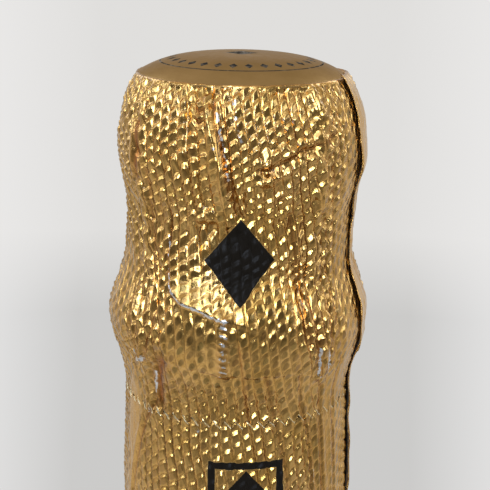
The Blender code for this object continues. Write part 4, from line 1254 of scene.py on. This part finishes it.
def foil_lining():
    """The foil's bare aluminium side."""
    lining = Finish("bare_aluminium_lining", 300.0)
    return lining.made(
        lining.specks * (0.02 * MM), Base_Color=lining.clouded(*ALUMINIUM),
        Metallic=1.0, Roughness=lining.speckled(0.32, 0.48))


# Printing on the top disc
DISC_GOLD = (0.4, 0.25, 0.1)
DISC_GOLD_DEEP = (0.31, 0.19, 0.068)
DISC_INK = (0.03, 0.026, 0.022)
DISC_TINT = (0.72, 0.63, 0.55)
RING_RADIUS = 11.9 * MM
RING_HALF_WIDTH = 0.13 * MM
BEAD_RING_RADIUS = 10.2 * MM
BEAD_COUNT = 30
BEAD_HALF_WIDTH = 0.6 * MM
BEAD_HALF_HEIGHT = 0.85 * MM
DISC_LOZENGE = 2.4 * MM


def middle_lozenge(graph, size):
    """A lozenge in the middle of a round top."""
    across, ahead, _ = graph.parts(graph.place())
    return graph.lozenge(abs(across), size, abs(ahead), size)


def smooth_foil():
    """The disc's satin foil, printed with a ring, beads and a lozenge."""
    disc = Finish("smooth_gold_foil", 120.0)
    azimuth, radius, _ = disc.polar()
    ring = disc.line(radius.off(RING_RADIUS), RING_HALF_WIDTH)
    turn = disc.math("FRACT", azimuth * (BEAD_COUNT / FULL_TURN))
    aside = turn.off(0.5) * (FULL_TURN * BEAD_RING_RADIUS / BEAD_COUNT)
    beads = disc.lozenge(aside, BEAD_HALF_WIDTH, radius.off(BEAD_RING_RADIUS), BEAD_HALF_HEIGHT)
    ink = disc.either(ring, beads, middle_lozenge(disc, DISC_LOZENGE))
    ink *= disc.span(disc.specks, 0.0, 0.5, 0.75, 1.0)
    return disc.made(
        disc.noise(disc.place(), 420.0) * (0.05 * MM),
        Base_Color=disc.mix(ink, disc.clouded(DISC_GOLD_DEEP, DISC_GOLD), DISC_INK), Metallic=1.0 - ink,
        Specular_IOR_Level=disc.between(ink, PLAIN_SHINE, 0.0), Specular_Tint=DISC_TINT,
        Roughness=disc.speckled(0.3, 0.42))


def bottle_glass():
    """Dark green glass with a faint waviness."""
    glass = Finish("dark_green_glass", 12.0)
    return glass.made(
        glass.noise(glass.place(), 55.0, 1.0) * (0.12 * MM),
        Base_Color=glass.clouded(*GLASS_GREENS),
        Transmission_Weight=1.0, IOR=1.52, Roughness=0.03)


def sparkling_wine():
    """Clear pale gold wine."""
    wine = Finish("pale_gold_wine", 20.0)
    return wine.made(Base_Color=wine.clouded(*WINE_GOLDS),
                     Transmission_Weight=1.0, IOR=1.34, Roughness=0.0)


CORK_SEAM = (0.16, 0.075, 0.03)


def cork_finish(name, light, dark, grain_scale, stretch):
    """Cork of granules, or with stretched grain for a natural disc."""
    cork = Finish(name, 260.0)
    place = cork.node("Mapping", {"Vector": cork.place(), "Scale": stretch})[0]
    grains = {"Vector": place, "Scale": grain_scale}
    tone = cork.node("SeparateColor", {0: cork.node("TexVoronoi", grains)["Color"]})[0]
    seam = cork.span(cork.node("TexVoronoi", grains, feature="DISTANCE_TO_EDGE")["Distance"], 0.0, 0.09)
    return cork.made(
        seam * (0.12 * MM) + cork.specks * (0.06 * MM),
        Base_Color=cork.mix(seam, CORK_SEAM, cork.mix(cork.specks * 0.4 + tone * 0.6, dark, light)),
        Roughness=cork.speckled(0.7, 0.9))


# Pressed and printed marks on the plaque
PLAQUE_RINGS = (12.2 * MM, 8.6 * MM)
PLAQUE_RING_HALF_WIDTH = 0.2 * MM
PLAQUE_LOZENGE = 4 * MM
PLAQUE_INK = (0.035, 0.03, 0.028)


def plaque_tin():
    """Lacquered tinplate with pressed rings and a plain lozenge."""
    tin = Finish("lacquered_tinplate", 150.0)
    radius = tin.polar()[1]
    rings = [tin.line(radius.off(size), PLAQUE_RING_HALF_WIDTH) for size in PLAQUE_RINGS]
    stamp = tin.either(*rings, middle_lozenge(tin, PLAQUE_LOZENGE))
    return tin.made(
        stamp * (0.1 * MM) + tin.specks * (0.01 * MM),
        Base_Color=tin.mix(stamp, tin.clouded(*PLAQUE_GOLDS), PLAQUE_INK),
        Metallic=tin.between(stamp, 1.0, 0.2), Roughness=tin.speckled(0.24, 0.38))


def galvanised_wire():
    """Zinc-coated steel wire with dull patches."""
    zinc = Finish("galvanised_wire", 500.0)
    return zinc.made(
        zinc.specks * (0.02 * MM), Base_Color=zinc.clouded(*ZINC),
        Metallic=1.0, Roughness=zinc.speckled(0.25, 0.45))


# Labels: slot, half width round the bottle, and printed rules as shares of the half height
NECK_LABEL_HALF_TURN = math.radians(165)
LABELS = {
    "front_label": ("label_paper", 41 * MM, ((0.05, 0.012), (0.09, 0.004))),
    "back_label": ("label_paper", 31 * MM, ((0.07, 0.014), (0.12, 0.005))),
    "neck_label": ("neck_paper", 70 * MM, ((0.1, 0.04), (0.2, 0.012))),
}
# The lozenge's size, the rules' distance from the middle, thickness and length, as shares of half sizes
LABEL_LOZENGE = (0.24, 0.16)
LABEL_LINE = (0.34, 0.008, 0.55)
PAPER_THICKNESS = 0.15 * MM
PAPER_GAP = 0.05 * MM
PRINT_RISE = 0.02 * MM
# Points of a label's grid round the bottle and down it
LABEL_GRID = (97, 33)


def paper(node, facing, ground, print_colour, radius):
    """A label's paper with a printed double border and a lozenge between two rules."""
    sheet = Finish(node + "_paper", 90.0)
    low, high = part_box(node)
    azimuth, _, height = sheet.polar(facing)
    half_height = (high.z - low.z) / 2
    _, half_width, borders = LABELS[node]
    aside = abs(azimuth) * radius
    up = height.off((low.z + high.z) / 2)
    beyond = sheet.either(aside - half_width, up - half_height)
    lines = [sheet.line(beyond.off(-inset * half_height), width * half_height) for inset, width in borders]
    wide, tall = (share * half_height for share in LABEL_LOZENGE)
    away, thin, length = LABEL_LINE
    rule = sheet.line(up.off(away * half_height), thin * half_height) * (aside < half_width * length)
    ink = sheet.either(*lines, sheet.lozenge(aside, wide, up, tall), rule)
    fibre = sheet.clouded(ground, tuple(0.93 * tone for tone in ground))
    return sheet.made(
        (ink + sheet.noise(sheet.place(), 2600.0)) * PRINT_RISE,
        Base_Color=sheet.mix(ink, fibre, print_colour), Roughness=sheet.speckled(0.62, 0.78))


# Pieces


FOIL_FINISH = embossed_foil()
LINING_FINISH = foil_lining()
GLASS_PROFILE = meridian("glass_bottle")
FOIL_PATH = foil_path()
WIRE_REACH = wire_reach()
TEAR_PATH = float(np.interp(-TEAR_LINE, -FOIL_PATH[2], FOIL_PATH[0]))
FOOT_PATH = float(FOIL_PATH[0][-1])

foil_piece("foil_skirt", "capsule_skirt", SKIRT_GRID, rolled_start,
           lambda azimuth: torn_line(azimuth) - SLIT_GAP, skirt_shift)
foil_piece("foil_sleeve", "capsule_sleeve", SLEEVE_GRID, torn_line,
           lambda azimuth: FOOT_PATH + 0 * azimuth, sleeve_shift)

NATURAL_CORK = cork_finish("natural_cork", (0.62, 0.42, 0.24), (0.42, 0.25, 0.12), 900.0, (1, 1, 2.5))
AGGLOMERATED_CORK = cork_finish("agglomerated_cork", (0.62, 0.4, 0.21), (0.36, 0.2, 0.09), 620.0, (1, 1, 1))
# Finer turned pieces: name, node, slot, finish, segments, step along the profile and corner radius
TURNED_PIECES = (
    ("glass_shell", "glass_bottle", "glass", bottle_glass(), 192, 1.5 * MM, 0.25 * MM),
    ("wine_fill", "wine", "wine", sparkling_wine(), 128, 2 * MM, 0.2 * MM),
    ("mushroom_cork", "cork_body", "cork", AGGLOMERATED_CORK, 128, 0.5 * MM, 0.3 * MM),
    ("cork_upper_disc", "cork_disc_upper", "natural_cork", NATURAL_CORK, 96, 0.5 * MM, 0.15 * MM),
    ("cork_lower_disc", "cork_disc_lower", "natural_cork", NATURAL_CORK, 96, 0.5 * MM, 0.3 * MM),
    ("plaque", "muselet_plaque", "plaque", plaque_tin(), 160, 0.3 * MM, 0.15 * MM),
)
for name, node, slot, finish, segments, step, corner in TURNED_PIECES:
    corners = meridian(node)
    profile = rounded(smoothed(corners, step), corner)
    profile = np.clip(profile, corners.min(axis=0), corners.max(axis=0))
    dress(lathe(name, profile, finish, segments), node)


def disc_profile():
    """The disc's dome and its hollow underside, from axis to axis."""
    radius = np.linspace(0, DISC_RADIUS, 40)
    height = DISC_CREST - DISC_DROP * (radius / DISC_RADIUS) ** DISC_POWER
    top = np.stack([radius, height], axis=-1)
    lip = [(DISC_RADIUS + 0.25 * DISC_THICKNESS, height[-1] - 0.4 * DISC_THICKNESS),
           (DISC_RADIUS, height[-1] - DISC_THICKNESS)]
    under = np.stack([radius[-2::-1], height[-2::-1] - DISC_THICKNESS], axis=-1)
    return np.concatenate([top, lip, under])


dress(lathe("foil_disc", disc_profile(), smooth_foil(), 192), "capsule_disc")

WIRE_SWELL = 0.06 * MM


def rounded_wire(name, node, material):
    """A smoother copy of a wire, its facets rounded and its thickness kept."""
    shell = bmesh.new()
    shell.from_mesh(frame["nodes"][node].data)
    bmesh.ops.remove_doubles(shell, verts=shell.verts, dist=MERGE_DISTANCE)
    bmesh.ops.join_triangles(shell, faces=shell.faces, cmp_seam=False, cmp_sharp=False, cmp_uvs=False,
                             cmp_vcols=False, cmp_materials=False,
                             angle_face_threshold=PI, angle_shape_threshold=PI)
    piece = add_piece(name, mesh_of(name, shell), material)
    smooth = piece.modifiers.new("rounding", "SUBSURF")
    smooth.levels = smooth.render_levels = 2
    swell = piece.modifiers.new("thickness", "DISPLACE")
    swell.strength = WIRE_SWELL
    swell.mid_level = 0.0
    dress(piece, node)


WIRE_FINISH = galvanised_wire()
for node, name in WIRE_NODES.items():
    rounded_wire(name, node, WIRE_FINISH)


def label_piece(node, middle, half_turn, radius_at, material):
    """A thin paper label, curved round the bottle."""
    low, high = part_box(node)
    azimuth = middle + np.linspace(-half_turn, half_turn, LABEL_GRID[0])[None, :]
    height = np.linspace(high.z, low.z, LABEL_GRID[1])[:, None]
    radius = radius_at(height) + 0 * azimuth
    azimuth, height = azimuth + 0 * height, height + 0 * azimuth
    outer = around(radius + PAPER_THICKNESS, azimuth, height)
    sheet = closed_sheet(node + "_sheet", outer, around(radius, azimuth, height), 1, material)
    dress(sheet, node)


CREAM = (0.74, 0.68, 0.56)
CREAM_PRINT = (0.3, 0.19, 0.06)
NECK_GROUND = (0.02, 0.018, 0.015)
NECK_PRINT = (0.45, 0.3, 0.1)
for node, label_facing, label_middle in (("front_label", 1.0, 0.0), ("back_label", -1.0, PI)):
    label_paper = paper(node, label_facing, CREAM, CREAM_PRINT, BODY_RADIUS)
    label_piece(node, label_middle, LABELS[node][1] / BODY_RADIUS,
                lambda height: BODY_RADIUS + PAPER_GAP + 0 * height, label_paper)
NECK_RADIUS = LABELS["neck_label"][1] / NECK_LABEL_HALF_TURN
neck_paper = paper("neck_label", 1.0, NECK_GROUND, NECK_PRINT, NECK_RADIUS)
label_piece("neck_label", 0.0, NECK_LABEL_HALF_TURN,
            lambda height: glass_radius(height) + GLASS_CLEARANCE + 2 * PAPER_GAP, neck_paper)


# Stage, light and camera


CAMERA_BACK = 150 * MM
CAMERA_RISE = 18 * MM
CAMERA_ASIDE = 0.95 * MM
CAMERA_PITCH = math.radians(16.6)
CAMERA_ROLL = math.radians(1.0)
CAMERA_LENS = 74.8
FLOOR_RADIUS = 1.2
FLOOR_COLOURS = ((0.745, 0.684, 0.602), (0.76, 0.698, 0.614))
# Radii where the floor fades for light and mirrors, and where it fades for the camera
FLOOR_FADE = (0.35, 0.85)
SEEN_FADE = (0.2, 0.42)
# What the metal mirrors of the floor: a shaded sector before the bottle
SHADE_TURN = math.radians(5)
SHADE_HALF_TURNS = (math.radians(75), math.radians(30))
SHADE_RADII = (0.05, 0.11)
SHADE_LEFT = 0.25


def stage_floor():
    """A pale floor that fades into the backdrop."""
    shell = bmesh.new()
    bmesh.ops.create_grid(shell, x_segments=1, y_segments=1, size=FLOOR_RADIUS)
    paint = Finish("pale_floor", 3.0)
    azimuth, radius, _ = paint.polar()
    path = paint.node("LightPath")
    sector = paint.span(azimuth.off(SHADE_TURN), *SHADE_HALF_TURNS)
    shade = sector * paint.span(radius, *SHADE_RADII) * path["Is Glossy Ray"]
    fades = [paint.span(radius, *radii, 1.0, 0.0) for radii in (FLOOR_FADE, SEEN_FADE)]
    material = paint.made(
        Base_Color=paint.clouded(*FLOOR_COLOURS), Roughness=paint.speckled(0.75, 0.85),
        Alpha=paint.between(shade, 1.0, SHADE_LEFT) * paint.between(path["Is Camera Ray"], *fades))
    floor = add_piece("floor", mesh_of("floor", shell), material)


# The backdrop and the table behind the bottle: colours in the middle and at the sides
WALL_COLOURS = ((0.745, 0.735, 0.72), (0.81, 0.8, 0.79))
TABLE_COLOURS = ((0.6, 0.595, 0.585), (0.745, 0.74, 0.735))
# How far aside, as a share of the view's direction, the colours change, and how high the table ends
WALL_EDGE = (0.14, 0.23)
TABLE_EDGE = (0.16, 0.235)
TABLE_TOP = (-0.345, -0.27)
AMBIENT = (0.36, 0.33, 0.28)
# The room that metal mirrors: its levels from behind the camera to behind the bottle, and its ceiling's
ROOM_DEPTHS = (-0.75, 0.35)
ROOM_LEVELS = (0.17, 0.68)
CEILING_HEIGHTS = (0.3, 0.75)
CEILING_LEVEL = 0.15
CEILING_END = (0.5, 0.0)
MIRRORED_SHARE = 0.6
MIRRORED_ROOM = (1.66, 1.6, 1.5)


def studio_world():
    """Pale surroundings, with a darker room behind the camera for the metal to mirror."""
    world = bpy.data.worlds.new("studio")
    world.use_nodes = True
    bpy.context.scene.world = world
    world.node_tree.nodes.clear()
    graph = Graph(world.node_tree)
    right, back, up = graph.parts(graph.node("TexCoord")["Generated"])
    path = graph.node("LightPath")
    wall = graph.mix(graph.span(abs(right), *WALL_EDGE), *WALL_COLOURS)
    table = graph.mix(graph.span(abs(right), *TABLE_EDGE), *TABLE_COLOURS)
    seen = graph.mix(graph.span(up, *TABLE_TOP), table, wall)
    above = graph.span(up, *CEILING_HEIGHTS, 0.0, CEILING_LEVEL) * graph.span(back, *CEILING_END)
    level = graph.span(back, *ROOM_DEPTHS, *ROOM_LEVELS) + above
    mirrored = graph.mix(level * MIRRORED_SHARE, (0, 0, 0), MIRRORED_ROOM)
    ambient, shine, view = (graph.node("Background", {"Color": colour, "Strength": 1.0})[0]
                            for colour in (AMBIENT, mirrored, seen))
    mixed = graph.node("MixShader", {0: path["Is Glossy Ray"], 1: ambient, 2: shine})[0]
    clear = graph.either(path["Is Camera Ray"], path["Is Transmission Ray"])
    graph.node("OutputWorld", {"Surface": graph.node("MixShader", {0: clear, 1: mixed, 2: view})[0]})


# Soft rectangular lamps, all aimed at the head: name, place, size and power
DAYLIGHT = (0.85, 1.0, 1.25)
LAMPS = (
    ("front", (-0.06, -0.95, 0.61), (0.64, 0.4), 4.2),
    ("window", (-0.12, -0.75, 0.555), (0.4, 0.2), 1.4),
    ("upper_left", (-0.5, -0.75, 0.85), (0.5, 0.4), 1.7),
    ("upper", (-0.05, -0.75, 0.9), (0.3, 0.4), 1.4),
    ("left_strip", (-0.94, -0.2, 0.53), (0.6, 0.24), 1.15),
    ("right_strip", (0.94, -0.25, 0.53), (0.6, 0.24), 1.05),
    ("overhead", (-0.1, -0.4, 1.1), (0.6, 0.4), 0.9),
    ("back_left", (-0.7, 0.6, 0.8), (0.5, 0.5), 1.6),
    ("back_right", (0.7, 0.6, 0.8), (0.5, 0.5), 1.6),
)


def stand(name, data, place, turn):
    """Put a lamp or the camera in its place, turned by a quaternion."""
    thing = bpy.data.objects.new(name, data)
    bpy.context.scene.collection.objects.link(thing)
    thing.location = place
    thing.rotation_mode = "QUATERNION"
    thing.rotation_quaternion = turn
    return thing


def studio():
    """Floor, world, lamps and camera."""
    stage_floor()
    studio_world()
    for name, place, size, power in LAMPS:
        lamp = bpy.data.lights.new(name, "AREA")
        lamp.shape = "RECTANGLE"
        lamp.size, lamp.size_y = size
        lamp.energy = power
        lamp.color = DAYLIGHT
        aim = Vector((0, 0, HEAD_WIDEST)) - Vector(place)
        stand(name, lamp, place, aim.to_track_quat("-Z", "Y"))
    eye = bpy.data.cameras.new("camera")
    eye.lens = CAMERA_LENS
    eye.clip_start = 5 * MM
    turn = Matrix.Rotation(PI / 2 - CAMERA_PITCH, 4, "X") @ Matrix.Rotation(CAMERA_ROLL, 4, "Z")
    place = (CAMERA_ASIDE, -CAMERA_BACK, RIM + CAMERA_RISE)
    bpy.context.scene.camera = stand("camera", eye, place, turn.to_quaternion())
    bpy.context.scene.view_settings.view_transform = "Standard"


studio()
